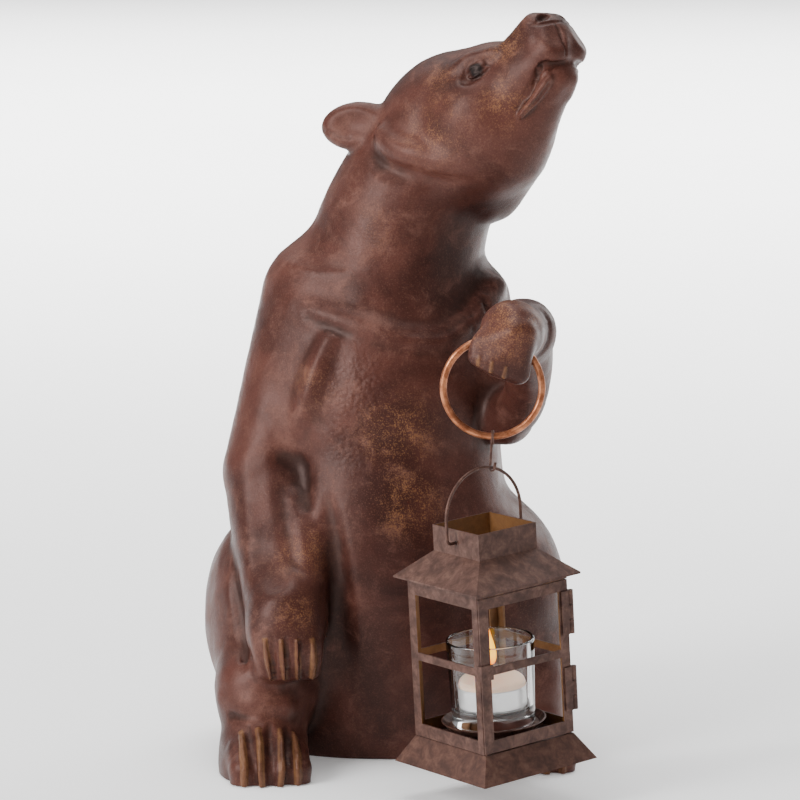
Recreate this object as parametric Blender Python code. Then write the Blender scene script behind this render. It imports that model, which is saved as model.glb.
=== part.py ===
"""A cast bear figure that sits up and holds a ring, with a small sheet-metal candle lantern hung from it."""

import math

import bmesh
import bpy
import numpy as np
from mathutils import Euler, Vector

for old in list(bpy.data.objects):
    bpy.data.objects.remove(old, do_unlink=True)

MM = 0.001

# Bear: the pose is given in units of 1/421 of the figure's height
BEAR_HEIGHT = 421.0 * MM
UNIT = BEAR_HEIGHT / 421.0
SCULPT_STEP = 3.0
BEAR_FACES = 5900
HEAD_TURN = math.radians(50.0)
HEAD_LIFT = math.radians(47.0)
HEAD_ROLL = math.radians(6.0)
HEAD_CENTRE = (35.0, 12.0, 357.5)
CLAW_BLEND = 1.5
CHISEL_DEPTH = 20.0

# Clearance between pieces that touch
GAP = 0.3 * MM

# Ring through the raised paw
RING_CENTRE = Vector((55.4, -126.8, 226.4)) * UNIT
RING_RADIUS = 26.3 * MM
RING_WIRE = 1.95 * MM
RING_SEGMENTS = 36
RING_SIDES = 8
RING_BORE_GAP = 0.5 * MM

# Lantern: side lengths of its square levels, and heights below the chimney top
LANTERN_TURN = math.radians(37.6)
LANTERN_TILT = math.radians(-3.8)
SHEET = 0.8 * MM
CHIMNEY_SIDE = 39.4 * MM
FRAME_SIDE = 60.9 * MM
EAVE_SIDE = 71.6 * MM
SKIRT_SIDE = 78.0 * MM
CHIMNEY_HEIGHT = 14.2 * MM
EAVE_DEPTH = 27.7 * MM
FRAME_TOP_DEPTH = 31.7 * MM
FRAME_BOTTOM_DEPTH = 117.1 * MM
SKIRT_DROP = 14.2 * MM
SKIRT_BOTTOM_DEPTH = FRAME_BOTTOM_DEPTH + SKIRT_DROP
EAR_DEPTH = CHIMNEY_HEIGHT / 2
POST_WIDTH = 6.2 * MM
FRAME_SHEET = 1.0 * MM
TOP_RAIL = 6.0 * MM
MID_RAIL = 4.3 * MM
BOTTOM_RAIL = 7.5 * MM
MID_RAIL_DROP = 38.0 * MM

# Bail wire and the hook that joins it to the ring
BAIL_WIRE = 0.85 * MM
BAIL_RADIUS = 25.5 * MM
BAIL_LEG = 12.0 * MM
BAIL_BEND = 2.6 * MM
BAIL_END = 2.6 * MM
EAR_HOLE = BAIL_WIRE + 0.4 * MM
HOOK_WIRE = 0.65 * MM
HOOK_GAP = 0.35 * MM
HOOK_ON_BAIL = 7.5 * MM

# Door, hinges and catch
DOOR_GAP = 0.5 * MM
HINGE_BARREL = 1.75 * MM
HINGE_BORE = 0.95 * MM
HINGE_PIN = 0.65 * MM
HINGE_LENGTH = 24.0 * MM
HINGE_LEAF = 5.0 * MM
HINGE_LEAF_SHEET = 0.6 * MM
HINGE_DROPS = (6.2 * MM, 48.3 * MM)

# Candle in its glass
DISH_RADIUS = 28.5 * MM
DISH_RIM = 3.6 * MM
DISH_FOOT_RADIUS = 20.0 * MM
DISH_FOOT_HEIGHT = 5.0 * MM
CUP_TOP_RADIUS = 24.0 * MM
CUP_BASE_RADIUS = 22.4 * MM
CUP_HEIGHT = 47.5 * MM
CUP_WALL = 1.6 * MM
CUP_BASE = 8.5 * MM
TEALIGHT_RADIUS = 19.0 * MM
TEALIGHT_HEIGHT = 13.0 * MM
TEALIGHT_SHEET = 0.5 * MM
WAX_HEIGHT = 15.8 * MM
WICK_RADIUS = 0.7 * MM
WICK_HEIGHT = 6.0 * MM
CUP_SEGMENTS = 32


def material(name, colour, roughness, metallic=0.0, transmission=0.0):
    """A plain shader for one piece."""
    made = bpy.data.materials.new(name)
    made.use_nodes = True
    shader = made.node_tree.nodes["Principled BSDF"]
    shader.inputs["Base Color"].default_value = (*colour, 1.0)
    shader.inputs["Roughness"].default_value = roughness
    shader.inputs["Metallic"].default_value = metallic
    shader.inputs["Transmission Weight"].default_value = transmission
    made.diffuse_color = (*colour, 1.0)
    return made


CAST_BROWN = material("cast_brown", (0.070, 0.035, 0.026), 0.42)
COPPER = material("copper", (0.50, 0.21, 0.10), 0.38, 0.9)
RUST_WIRE = material("rust_wire", (0.16, 0.085, 0.055), 0.5, 0.6)
RUST_SHEET = material("rust_sheet", (0.13, 0.065, 0.045), 0.55, 0.5)
CLEAR_GLASS = material("clear_glass", (1.0, 1.0, 1.0), 0.02, 0.0, 1.0)
ALUMINIUM = material("aluminium", (0.86, 0.86, 0.85), 0.35, 0.7)
WAX = material("wax", (0.92, 0.66, 0.50), 0.5)
COTTON = material("cotton", (0.12, 0.10, 0.09), 0.9)


# Sculpting in a distance field

def unit(vector):
    return np.asarray(vector, float) / np.linalg.norm(vector)


def head_axes():
    """Forward, right and up of the turned and lifted head."""
    forward = np.array([
        math.sin(HEAD_TURN) * math.cos(HEAD_LIFT),
        -math.cos(HEAD_TURN) * math.cos(HEAD_LIFT),
        math.sin(HEAD_LIFT),
    ])
    level = np.array([-math.cos(HEAD_TURN), -math.sin(HEAD_TURN), 0.0])
    crown = np.cross(level, forward)
    right = level * math.cos(HEAD_ROLL) + crown * math.sin(HEAD_ROLL)
    return forward, right, np.cross(right, forward)


HEAD_AXES = head_axes()
FORWARD, RIGHTWARD, UPWARD = HEAD_AXES


def on_head(forward, right, up):
    """A point of the head's own frame, in figure units."""
    along, across, over = HEAD_AXES
    return np.array(HEAD_CENTRE) + forward * along + right * across + up * over


def across_head(forward, right, up):
    """A direction given in the head's own frame."""
    return forward * FORWARD + right * RIGHTWARD + up * UPWARD


def touching_patterns():
    """Corner sets of a cell's faces, and its long diagonals, where signs could cross over."""
    patterns = []
    for one, two in ((0, 1), (1, 2), (0, 2)):
        steps = []
        for a, b in ((0, 0), (1, 1), (1, 0), (0, 1)):
            offset = [0, 0, 0]
            offset[one] = a
            offset[two] = b
            steps.append(tuple(offset))
        patterns.append(steps)
    return patterns


TOUCHING = touching_patterns()


class Clay:
    """A block of space that solid shapes are blended into and carved out of."""

    def __init__(self, low, high, step):
        self.low = np.array(low, float)
        self.step = step
        counts = np.ceil((np.array(high, float) - self.low) / step).astype(int) + 1
        self.axes = [self.low[i] + step * np.arange(counts[i]) for i in range(3)]
        self.field = np.full(counts, 1.0e3)

    def window(self, low, high):
        """The slices, and the coordinates in them, that reach past a box."""
        cut = []
        for i in range(3):
            first = int(np.searchsorted(self.axes[i], low[i]))
            last = int(np.searchsorted(self.axes[i], high[i]))
            cut.append(slice(max(first - 1, 0), max(last + 1, 1)))
        grid = np.meshgrid(*[self.axes[i][cut[i]] for i in range(3)], indexing="ij")
        return tuple(cut), grid

    def join(self, low, high, distance, blend):
        cut, grid = self.window(low, high)
        old = self.field[cut]
        new = distance(*grid)
        mix = np.clip(0.5 + 0.5 * (old - new) / blend, 0.0, 1.0)
        self.field[cut] = old * (1.0 - mix) + new * mix - blend * mix * (1.0 - mix)

    def carve(self, low, high, distance, blend):
        cut, grid = self.window(low, high)
        old = self.field[cut]
        new = -distance(*grid)
        mix = np.clip(0.5 - 0.5 * (old - new) / blend, 0.0, 1.0)
        self.field[cut] = old * (1.0 - mix) + new * mix + blend * mix * (1.0 - mix)

    def egg(self, centre, radii, blend, axes=None, cut=False):
        """An ellipsoid, along the axes given or the world's."""
        centre = np.asarray(centre, float)
        axes = np.eye(3) if axes is None else np.array([unit(axis) for axis in axes])
        reach = np.sqrt(((axes * np.array(radii)[:, None]) ** 2).sum(0)) + blend + 2 * self.step

        def distance(x, y, z):
            rel = (x - centre[0], y - centre[1], z - centre[2])
            own = [sum(axis[i] * rel[i] for i in range(3)) for axis in axes]
            first = np.sqrt(sum((own[i] / radii[i]) ** 2 for i in range(3)))
            second = np.sqrt(sum((own[i] / radii[i] ** 2) ** 2 for i in range(3))) + 1e-9
            return first * (first - 1.0) / second

        (self.carve if cut else self.join)(centre - reach, centre + reach, distance, blend)

    def reading(self, points):
        """The field at any points, from the corners of their cells."""
        cell = (points - self.low) / self.step
        base = np.floor(cell).astype(int)
        share = cell - base
        total = np.zeros(len(points))
        for corner in np.ndindex(2, 2, 2):
            weight = np.prod(np.where(corner, share, 1.0 - share), axis=1)
            total += weight * self.field[tuple((base + corner).T)]
        return total

    def laid(self, points, lift):
        """Points moved onto the surface as it stands so far, then out from it by a lift."""
        points = points.copy()
        nudges = np.eye(3) * self.step / 2
        for _ in range(4):
            ahead = np.stack([self.reading(points + way) for way in nudges], axis=1)
            behind = np.stack([self.reading(points - way) for way in nudges], axis=1)
            slope = ahead - behind
            slope /= np.linalg.norm(slope, axis=1, keepdims=True) + 1e-9
            points -= slope * self.reading(points)[:, None]
        return points + slope * lift

    def limb(self, path, radii, blend, cut=False, lift=None):
        """A smooth tapered round length through points, laid on the surface where a lift is given."""
        spine = flowing(np.column_stack((np.array(path, float), radii)), 12 if max(radii) > 12.0 else 4)
        if lift is not None:
            spine[:, :3] = self.laid(spine[:, :3], lift)
        reach = spine[:, 3].max() + blend + 2 * self.step
        low = spine[:, :3].min(0) - reach
        high = spine[:, :3].max(0) + reach

        def distance(x, y, z):
            nearest = None
            for start, end in zip(spine, spine[1:]):
                along = (end - start)[:3]
                rel = (x - start[0], y - start[1], z - start[2])
                share = np.clip(sum(along[i] * rel[i] for i in range(3)) / float(along @ along), 0.0, 1.0)
                off = [rel[i] - share * along[i] for i in range(3)]
                away = np.sqrt(sum(o * o for o in off)) - (start[3] + (end[3] - start[3]) * share)
                nearest = away if nearest is None else np.minimum(nearest, away)
            return nearest

        (self.carve if cut else self.join)(low, high, distance, blend)

    def chisel(self, spot, along, normal, length, width, depth, blend=1.5):
        """A nearly flat facet cut into a rounded form at a point of its surface."""
        normal = unit(normal)
        across = unit(np.cross(normal, along))
        share = math.sqrt(1.0 - (1.0 - depth / CHISEL_DEPTH) ** 2)
        centre = np.asarray(spot, float) + normal * (CHISEL_DEPTH - depth)
        radii = (length / 2 / share, width / 2 / share, CHISEL_DEPTH)
        self.egg(centre, radii, blend, (np.cross(across, normal), across, normal), cut=True)

    def claw(self, path, radii):
        """A claw: a thin limb that lies on its toe and stands crisply out of it."""
        self.limb(path, radii, CLAW_BLEND, lift=0.4)

    def barrel(self, stations, blend):
        """A body whose level sections change smoothly: height, centre x, half width, front y and back y."""
        table = np.array(stations, float)
        low = (-140.0, -90.0, table[0, 0] - 20.0)
        high = (140.0, 140.0, table[-1, 0] + 30.0)

        def distance(x, y, z):
            level = [smooth_table(z, table[:, 0], table[:, i]) for i in range(1, 5)]
            middle, half, front, back = level
            depth = (back - front) / 2.0
            own_x = (x - middle) / half
            own_y = (y - (front + back) / 2.0) / depth
            ring = np.power(np.abs(own_x) ** 2.3 + np.abs(own_y) ** 2.3, 1.0 / 2.3)
            side = (ring - 1.0) * np.minimum(half, depth)
            over = np.maximum(z - table[-1, 0], table[0, 0] - z)
            return np.maximum(side, over)

        self.join(low, high, distance, blend)

    def settle(self):
        """Turns the weakest corner of each face or cell where the surface would touch itself."""
        field = self.field
        for _ in range(20):
            turned_over = 0
            for offsets in TOUCHING:
                span = np.max(offsets, axis=0)
                size = np.array(field.shape) - span
                around = [field[tuple(slice(o, o + n) for o, n in zip(offset, size))] for offset in offsets]
                half = len(offsets) // 2
                pair = around[0] < 0.0
                bad = np.ones(pair.shape, bool)
                for corner in around[1:half]:
                    bad &= (corner < 0.0) == pair
                for corner in around[half:]:
                    bad &= (corner < 0.0) != pair
                places = np.argwhere(bad)
                if not len(places):
                    continue
                strength = np.stack([np.abs(corner[bad]) for corner in around], 1)
                weakest = np.array(offsets)[np.argmin(strength, 1)]
                spots = np.unique(places + weakest, axis=0)
                values = field[tuple(spots.T)]
                field[tuple(spots.T)] = np.where(values < 0.0, 0.05, -0.05) * self.step
                turned_over += len(spots)
            if not turned_over:
                break

    def skin(self):
        """Vertices and quads of the zero surface, one vertex in each crossed cell."""
        self.settle()
        field = self.field
        inside = field < 0.0
        shape = np.array(field.shape) - 1
        corners = [(i, j, k) for i in (0, 1) for j in (0, 1) for k in (0, 1)]

        def block(source, i, j, k):
            return source[i:i + shape[0], j:j + shape[1], k:k + shape[2]]

        count = sum(block(inside, *corner).astype(np.int8) for corner in corners)
        crossed = (count > 0) & (count < 8)
        total = np.zeros((*shape, 3))
        hits = np.zeros(shape)
        for first in corners:
            for axis in range(3):
                if first[axis]:
                    continue
                second = list(first)
                second[axis] = 1
                a = block(field, *first)
                b = block(field, *second)
                cross = (a < 0.0) != (b < 0.0)
                share = np.where(cross, a / np.where(cross, a - b, 1.0), 0.0)
                for i in range(3):
                    place = first[i] + (share if i == axis else 0.0)
                    total[..., i] += np.where(cross, place, 0.0)
                hits += cross
        cells = np.argwhere(crossed)
        number = np.full(tuple(shape), -1)
        number[crossed] = np.arange(len(cells))
        mean = total[crossed] / hits[crossed][:, None]
        points = self.low + (cells + mean) * self.step
        quads = []
        for axis in range(3):
            one, two = (axis + 1) % 3, (axis + 2) % 3
            head = [slice(None)] * 3
            tail = [slice(None)] * 3
            head[axis] = slice(1, None)
            tail[axis] = slice(None, -1)
            flips = inside[tuple(head)] != inside[tuple(tail)]
            edges = np.argwhere(flips)
            keep = (edges[:, one] > 0) & (edges[:, two] > 0)
            keep &= (edges[:, one] < shape[one]) & (edges[:, two] < shape[two])
            edges = edges[keep]
            starts = inside[tuple(edges.T)]
            ring = []
            for back_one, back_two in ((1, 1), (0, 1), (0, 0), (1, 0)):
                cell = edges.copy()
                cell[:, one] -= back_one
                cell[:, two] -= back_two
                ring.append(number[tuple(cell.T)])
            ring = np.stack(ring, 1)
            ring[~starts] = ring[~starts][:, ::-1]
            quads.append(ring)
        return points, np.concatenate(quads)


def flowing(points, parts):
    """More points along a smooth curve through the given ones."""
    if len(points) < 3:
        return points
    before = np.concatenate((2 * points[:1] - points[1:2], points, 2 * points[-1:] - points[-2:-1]))
    out = []
    for p, q, r, s in zip(before, before[1:], before[2:], before[3:]):
        for step in range(parts):
            t = step / parts
            bend = 2 * p - 5 * q + 4 * r - s
            twist = 3 * q - p - 3 * r + s
            out.append(q + ((r - p) * t + bend * t ** 2 + twist * t ** 3) / 2)
    out.append(points[-1])
    return np.array(out)


def smooth_table(z, heights, values):
    """Values between stations, by a curve that keeps its slope at each one."""
    slopes = np.gradient(values, heights)
    index = np.clip(np.searchsorted(heights, z) - 1, 0, len(heights) - 2)
    span = heights[index + 1] - heights[index]
    share = np.clip((z - heights[index]) / span, 0.0, 1.0)
    rise = 3 * share ** 2 - 2 * share ** 3
    lead = (share ** 3 - 2 * share ** 2 + share) * span * slopes[index]
    tail = (share ** 3 - share ** 2) * span * slopes[index + 1]
    return values[index] * (1 - rise) + values[index + 1] * rise + lead + tail


# Height, centre x, half width, front y and back y of the trunk
TRUNK = (
    (-8.0, 2.0, 78.0, -34.0, 84.0),
    (36.0, 2.0, 84.0, -48.0, 98.0),
    (91.0, 2.0, 84.0, -54.0, 102.0),
    (147.0, -1.0, 68.0, -50.0, 92.0),
    (204.0, -1.0, 63.0, -43.0, 82.0),
    (243.0, -2.0, 58.0, -34.0, 74.0),
    (272.0, -4.0, 50.0, -20.0, 66.0),
)

TOE_SPREAD = (-1.5, -0.5, 0.5, 1.5)


def foot(clay, heel, toe, width):
    """A flat hind foot with four toes and long claws, from heel to toe tips."""
    heel = np.array(heel, float)
    toe = np.array(toe, float)
    along = unit(toe - heel)
    across = unit(np.cross((0.0, 0.0, 1.0), along))
    middle = (heel + toe) / 2
    half = np.linalg.norm(toe - heel) / 2

    def spot(back, side, height):
        return toe * (1, 1, 0) - along * (1, 1, 0) * back + across * side + np.array((0, 0, height))

    clay.egg(middle * (1, 1, 0) + (0, 0, 4.0), (half, width + 2.0, 27.0), 8.0, (along, across, (0, 0, 1)))
    for slot in TOE_SPREAD:
        side = slot * width * 0.42 + 2.0
        clay.limb((spot(24.0, side, 14.0), spot(8.0 + abs(slot) * 2, side, 7.0)), (8.0, 8.2), 3.0)
        pad = 8.0 + abs(slot) * 2
        clay.limb((spot(pad, side, 7.0), spot(pad, side, 0.0)), (8.2, 8.0), 2.0)
    for slot in (-1.0, 0.0, 1.0):
        side = slot * width * 0.42 + 2.0
        route = (spot(26.0, side, 26.0), spot(18.0, side, 22.0), spot(8.0, side, 18.0), spot(-0.5, side, 8.0),
                 spot(-1.5, side, -6.0))
        clay.limb(route, (0.6, 2.6, 2.6, 2.2, 2.2), 2.0, cut=True, lift=0.0)
    for slot in TOE_SPREAD:
        side = slot * width * 0.42 + 2.0
        draw = abs(slot) * 2.0
        route = (spot(22.0 + draw, side, 24.5), spot(10.0 + draw, side, 18.5), spot(2.0 + draw, side, 8.5),
                 spot(0.5 + draw, side, -6.0))
        clay.claw(route, (1.2, 1.9, 1.9, 1.6))


def shape_legs(clay):
    """Thighs at the sides, then knees over the feet."""
    clay.egg((-61.5, 6.0, 81.0), (44.0, 58.0, 58.0), 12.0)
    clay.egg((59.5, 8.0, 82.0), (42.0, 58.0, 62.0), 12.0)
    clay.limb(((-66.0, -6.0, 60.0), (-70.0, -42.0, 43.0)), (34.0, 27.0), 14.0)
    clay.limb(((68.0, 0.0, 62.0), (74.0, -22.0, 40.0)), (30.0, 24.0), 14.0)
    clay.limb(((-70.0, -42.0, 43.0), (-70.0, -50.0, 20.0)), (26.5, 24.0), 8.0)
    clay.limb(((74.0, -22.0, 40.0), (77.0, -26.0, 18.0)), (23.0, 22.0), 8.0)
    clay.limb(((-90.0, -54.0, 39.0), (-74.0, -65.0, 39.0), (-58.0, -66.0, 38.0)), (6.0, 7.0, 6.0), 4.0)
    ankle = ((-88.0, -64.0, 32.0), (-74.0, -76.0, 32.0), (-54.0, -76.0, 32.0))
    clay.limb(ankle, (1.2, 1.8, 1.2), 3.0, cut=True)
    foot(clay, (-74.0, -24.0, 0.0), (-66.5, -99.0, 0.0), 23.5)
    foot(clay, (77.0, 4.0, 0.0), (81.0, -72.0, 0.0), 22.0)


def shape_arms(clay):
    """Upper arms, the lowered forearm with its paw on the knee, and the raised one with its paw bent down."""
    clay.limb(((-36.0, 24.0, 254.0), (-66.0, 0.0, 160.0)), (37.5, 28.5), 12.0)
    clay.limb(((40.0, 22.0, 249.0), (65.0, -14.0, 195.0)), (30.5, 16.5), 8.0)

    # Lowered forearm: a groove down its inside, and a long fold beside it
    clay.limb(((-88.0, -26.0, 130.0), (-87.0, -38.0, 105.0), (-83.0, -48.0, 80.0), (-79.0, -60.0, 57.0)),
              (3.0, 4.5, 4.0, 1.0), 5.0, cut=True)
    shadow = ((-35.0, -50.0, 150.0), (-32.0, -56.0, 128.0), (-29.0, -61.0, 95.0), (-28.0, -58.0, 55.0),
              (-35.0, -56.0, 22.0))
    clay.limb(shadow, (2.0, 6.0, 8.0, 8.0, 6.0), 6.0, cut=True)
    clay.limb(((-66.5, -2.0, 156.0), (-65.5, -16.0, 134.0), (-61.0, -50.0, 92.0), (-59.0, -58.0, 80.0)),
              (27.0, 25.0, 20.0, 19.5), 4.0)
    clay.limb(((-52.0, -32.0, 148.0), (-47.0, -44.0, 126.0), (-44.0, -54.0, 104.0), (-44.0, -60.0, 84.0)),
              (6.0, 9.0, 9.5, 8.5), 6.0)
    hollow = ((-59.0, -30.0, 171.0), (-52.0, -35.0, 166.0), (-48.0, -44.0, 148.0))
    clay.limb(hollow, (3.8, 5.2, 1.5), 6.0, cut=True, lift=1.4)
    clay.egg((-57.0, -64.0, 82.0), (20.5, 16.5, 28.0), 10.0)
    flat = ((-74.6, -26.0, 166.0), (-71.6, -40.0, 138.6), (-65.4, -58.0, 111.4), (-64.6, -66.0, 98.2))
    clay.limb(flat, (39.2, 40.2, 40.3, 39.2), 2.0, cut=True, lift=39.0)
    for side in TOE_SPREAD:
        root = (-57.0 + side * 8.0, -62.0 + abs(side) * 2.4, 94.0)
        knuckle = (-56.0 + side * 8.8, -75.5 + abs(side) * 2.2, 74.0)
        tip = (-55.5 + side * 8.0, -71.0 + abs(side) * 1.6, 59.5)
        clay.limb((root, knuckle, tip), (4.0, 6.6, 6.0), 5.0)
    for side in TOE_SPREAD:
        root = (-55.0 + side * 8.6, -82.5 + abs(side) * 2.6, 78.0)
        bend = (-54.0 + side * 8.2, -81.5 + abs(side) * 2.4, 66.0)
        tip = (-53.5 + side * 7.6, -77.0 + abs(side) * 1.8, 54.5)
        clay.claw((root, bend, tip), (1.0, 1.7, 1.3))
    under = ((-70.0, -74.0, 48.5), (-58.0, -80.0, 46.5), (-42.0, -74.0, 49.0))
    clay.limb(under, (2.0, 3.4, 2.6), 2.5, cut=True)

    # Raised forearm, cut free of the chest, with the wrist bent over
    gap = ((60.0, -50.0, 220.0), (61.0, -47.0, 204.0), (62.0, -42.0, 192.0))
    clay.limb(gap, (6.0, 7.0, 3.0), 6.0, cut=True)
    clay.limb(((65.5, -22.0, 193.0), (74.0, -40.0, 205.0), (76.5, -60.0, 225.0), (72.5, -94.0, 252.0)),
              (15.0, 12.8, 13.5, 17.0), 7.0)
    clay.limb(((72.5, -94.0, 252.0), (65.0, -122.0, 256.0)), (17.0, 16.5), 6.0)
    clay.limb(((66.0, -122.0, 255.0), (60.0, -128.0, 245.0)), (16.0, 12.0), 5.0)
    for side in TOE_SPREAD:
        knuckle = (61.5 + side * 7.0, -137.0 + abs(side) * 1.5, 258.0 - side)
        tip = (58.5 + side * 7.0, -134.0 + abs(side) * 1.5, 239.5 - side * 3.2)
        clay.limb((knuckle, tip), (6.4, 6.4), 5.0)
    clay.chisel((55.0, -141.0, 247.0), (1.0, 0.1, -0.25), (-0.35, -0.80, 0.45), 26.0, 10.0, 1.0, 3.0)
    clay.chisel((57.0, -134.0, 264.0), (0.6, 0.3, -0.7), (-0.55, -0.62, 0.56), 26.0, 20.0, 1.0, 4.0)
    for side in TOE_SPREAD[:-1]:
        root = (58.5 + side * 7.0, -139.8 + abs(side) * 1.5, 241.0 - side * 2.6)
        tip = (57.5 + side * 7.0, -139.0 + abs(side) * 1.5, 235.0 - side * 3.0)
        clay.claw((root, tip), (0.4, 0.7))


def shape_neck(clay):
    """Neck, the collar line where it meets the chest, and the ridge off the shoulder."""
    clay.limb(((-0.5, 26.0, 262.0), (11.0, 22.0, 305.0), (30.5, 15.0, 340.0)), (52.5, 47.0, 41.5), 8.0)
    clay.limb(((63.5, 0.0, 340.0), (57.0, 2.0, 318.0)), (18.5, 17.5), 8.0)
    clay.egg((50.0, -36.0, 284.0), (18.0, 16.0, 38.0), 14.0, cut=True)
    collar = ((-50.0, -8.0, 252.0), (-36.0, -18.0, 250.0), (-11.0, -29.0, 245.0), (10.0, -32.0, 239.0),
              (28.0, -28.0, 238.0), (42.0, -18.0, 244.0), (52.0, -7.0, 253.0), (60.0, 6.0, 264.0))
    above = [(x, y - 6.5, z + 8.0) for x, y, z in collar[3:]]
    clay.limb(above, (1.0, 3.0, 4.2, 4.0, 2.0), 5.0, cut=True)
    clay.limb(collar, (4.0, 6.6, 6.6, 6.0, 7.0, 7.6, 7.6, 6.0), 6.0)
    clay.limb(((-33.0, -26.0, 236.0), (-39.0, -29.0, 221.0), (-44.0, -29.0, 204.0), (-49.0, -24.0, 188.0)),
              (6.0, 7.6, 7.6, 5.0), 5.0)
    beside = ((-27.0, -43.0, 232.0), (-32.0, -47.0, 214.0), (-38.0, -46.0, 196.0))
    clay.limb(beside, (1.0, 2.6, 1.0), 6.0, cut=True)


def shape_head(clay):
    """Cranium, brow, cheeks, jaw and muzzle, then the eyes, ears, nose and mouth."""
    axes = HEAD_AXES
    clay.egg(on_head(0.0, 0.0, 0.5), (40.5, 37.0, 36.0), 10.0, axes)
    clay.egg(on_head(26.0, 0.0, -6.5), (36.0, 29.0, 24.5), 12.0, axes)
    clay.egg(on_head(12.0, 0.0, -30.0), (40.0, 34.0, 32.0), 12.0, axes)
    clay.limb((on_head(34.0, 0.0, -26.0), on_head(78.0, 0.0, -23.0)), (28.0, 18.5), 10.0)
    clay.limb((on_head(20.0, 0.0, -42.0), on_head(71.0, 0.0, -36.5)), (20.0, 12.0), 8.0)
    clay.egg(on_head(84.0, 0.0, -18.0), (12.0, 16.5, 15.0), 5.0, axes)
    for side in (1.0, -1.0):

        def spot(forward, right, up, side=side):
            return on_head(forward, side * right, up)

        # Jaw line from ear to throat, standing over a groove in the neck
        jaw = (spot(-17.0, 41.0, 4.0), spot(-13.0, 41.5, -9.0), spot(-7.0, 38.5, -20.0),
               spot(-1.0, 33.5, -31.0), spot(7.0, 27.0, -41.0), spot(16.0, 19.0, -48.0))
        behind = (spot(-27.0, 47.0, 2.0), spot(-23.0, 47.0, -14.0), spot(-16.0, 44.0, -27.0),
                  spot(-9.0, 38.0, -39.0), spot(0.0, 31.0, -49.0))
        clay.limb(behind, (2.5, 3.6, 4.6, 4.0, 1.0), 7.0, cut=True)
        clay.limb(jaw, (3.5, 4.8, 5.6, 5.2, 3.8, 2.0), 9.0)
        clay.egg(spot(24.0, 24.0, -20.0), (18.0, 11.0, 13.0), 14.0, axes)

        # Boxy muzzle: an edge over each side of the bridge, and the hanging upper lip
        clay.limb((spot(50.0, 12.0, -10.0), spot(86.0, 9.0, -10.5)), (7.0, 6.0), 5.0)
        clay.limb((spot(58.0, 10.0, -30.0), spot(86.0, 8.0, -30.0)), (9.0, 8.5), 5.0)
        clay.chisel(spot(95.0, 9.0, -25.0), UPWARD, across_head(0.88, side * 0.45, -0.15), 24.0, 14.0, 1.0)

        # Eye, in a socket under the brow
        clay.egg(spot(49.0, 29.0, -9.8), (9.5, 4.6, 5.6), 3.0, axes, cut=True)
        clay.egg(spot(48.0, 22.9, -9.8), (6.2, 3.8, 3.6), 1.0, axes)
        brow = (spot(38.0, 25.0, 1.0), spot(49.0, 22.5, -0.5), spot(60.0, 17.5, -6.0))
        clay.limb(brow, (3.0, 3.4, 2.5), 7.0)

        # Ear: a thick rounded tongue, hollowed at the front
        root = np.array((-19.0, 30.5, 14.0))
        out = unit((-17.0, 11.0, 14.0))
        face = unit(np.cross(out, (0.45, 0.1, 1.0)))
        rise = np.cross(face, out)
        ear_axes = [across_head(*(own * (1, side, 1))) for own in (out, face, rise)]
        middle = root + out * 15.0
        clay.egg(spot(*middle), (22.0, 9.5, 14.0), 5.0, ear_axes)
        clay.egg(spot(*(middle + out * 2.0 + face * 10.5)), (14.0, 5.0, 8.0), 4.0, ear_axes, cut=True)

        # Mouth line, with the chin and lower lip under it, and the nostril
        mouth = (spot(88.0, 0.0, -40.5), spot(86.0, 6.0, -40.0), spot(79.0, 15.0, -36.5),
                 spot(70.0, 17.0, -39.0), spot(62.0, 18.5, -41.0), spot(53.0, 19.5, -42.0))
        clay.limb(mouth, (1.6, 1.8, 2.2, 2.2, 2.0, 1.2), 1.6, cut=True)
        clay.limb((spot(68.0, 5.0, -42.5), spot(77.0, 3.0, -43.0)), (6.5, 5.5), 4.0)
        wide = 1.0 if side > 0 else 0.5
        lip = (spot(76.0, 11.5 * wide, -42.0), spot(70.0, 13.0 * wide, -43.5), spot(61.0, 15.0 * wide, -45.0),
               spot(51.0, 17.5 * wide, -46.0))
        clay.limb(lip, (2.8, 3.3, 3.2, 2.0), 1.5)
        clay.egg(spot(96.5, 8.5, -12.0), (4.0, 2.8, 3.0), 1.5, axes, cut=True)


def bear_field(step):
    """The whole figure, blended from its named masses and then carved."""
    clay = Clay((-122.0, -162.0, -12.0), (122.0, 116.0, 434.0), step)
    clay.barrel(TRUNK, 6.0)
    clay.egg((2.0, -4.0, 204.0), (57.0, 40.0, 42.0), 12.0)
    clay.egg((4.0, -18.0, 108.0), (62.0, 40.0, 62.0), 24.0)
    clay.egg((2.0, 98.0, 22.0), (9.0, 12.0, 15.0), 6.0)
    shape_legs(clay)
    shape_neck(clay)
    shape_arms(clay)
    shape_head(clay)
    return clay


def link(name, mesh, paint, parent=None):
    made = bpy.data.objects.new(name, mesh)
    bpy.context.scene.collection.objects.link(made)
    made.data.materials.append(paint)
    if parent is not None:
        made.parent = parent
    return made


def level_base(mesh):
    """Cuts the underside flat at the ground and closes it."""
    work = bmesh.new()
    work.from_mesh(mesh)
    everything = work.verts[:] + work.edges[:] + work.faces[:]
    cut = bmesh.ops.bisect_plane(
        work, geom=everything, dist=1e-6, plane_co=(0, 0, 0), plane_no=(0, 0, -1), clear_outer=True
    )
    rim = [item for item in cut["geom_cut"] if isinstance(item, bmesh.types.BMEdge)]
    bmesh.ops.holes_fill(work, edges=rim, sides=0)
    bmesh.ops.triangulate(work, faces=[face for face in work.faces if len(face.verts) > 4])
    bmesh.ops.recalc_face_normals(work, faces=work.faces)
    work.to_mesh(mesh)
    work.free()


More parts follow.
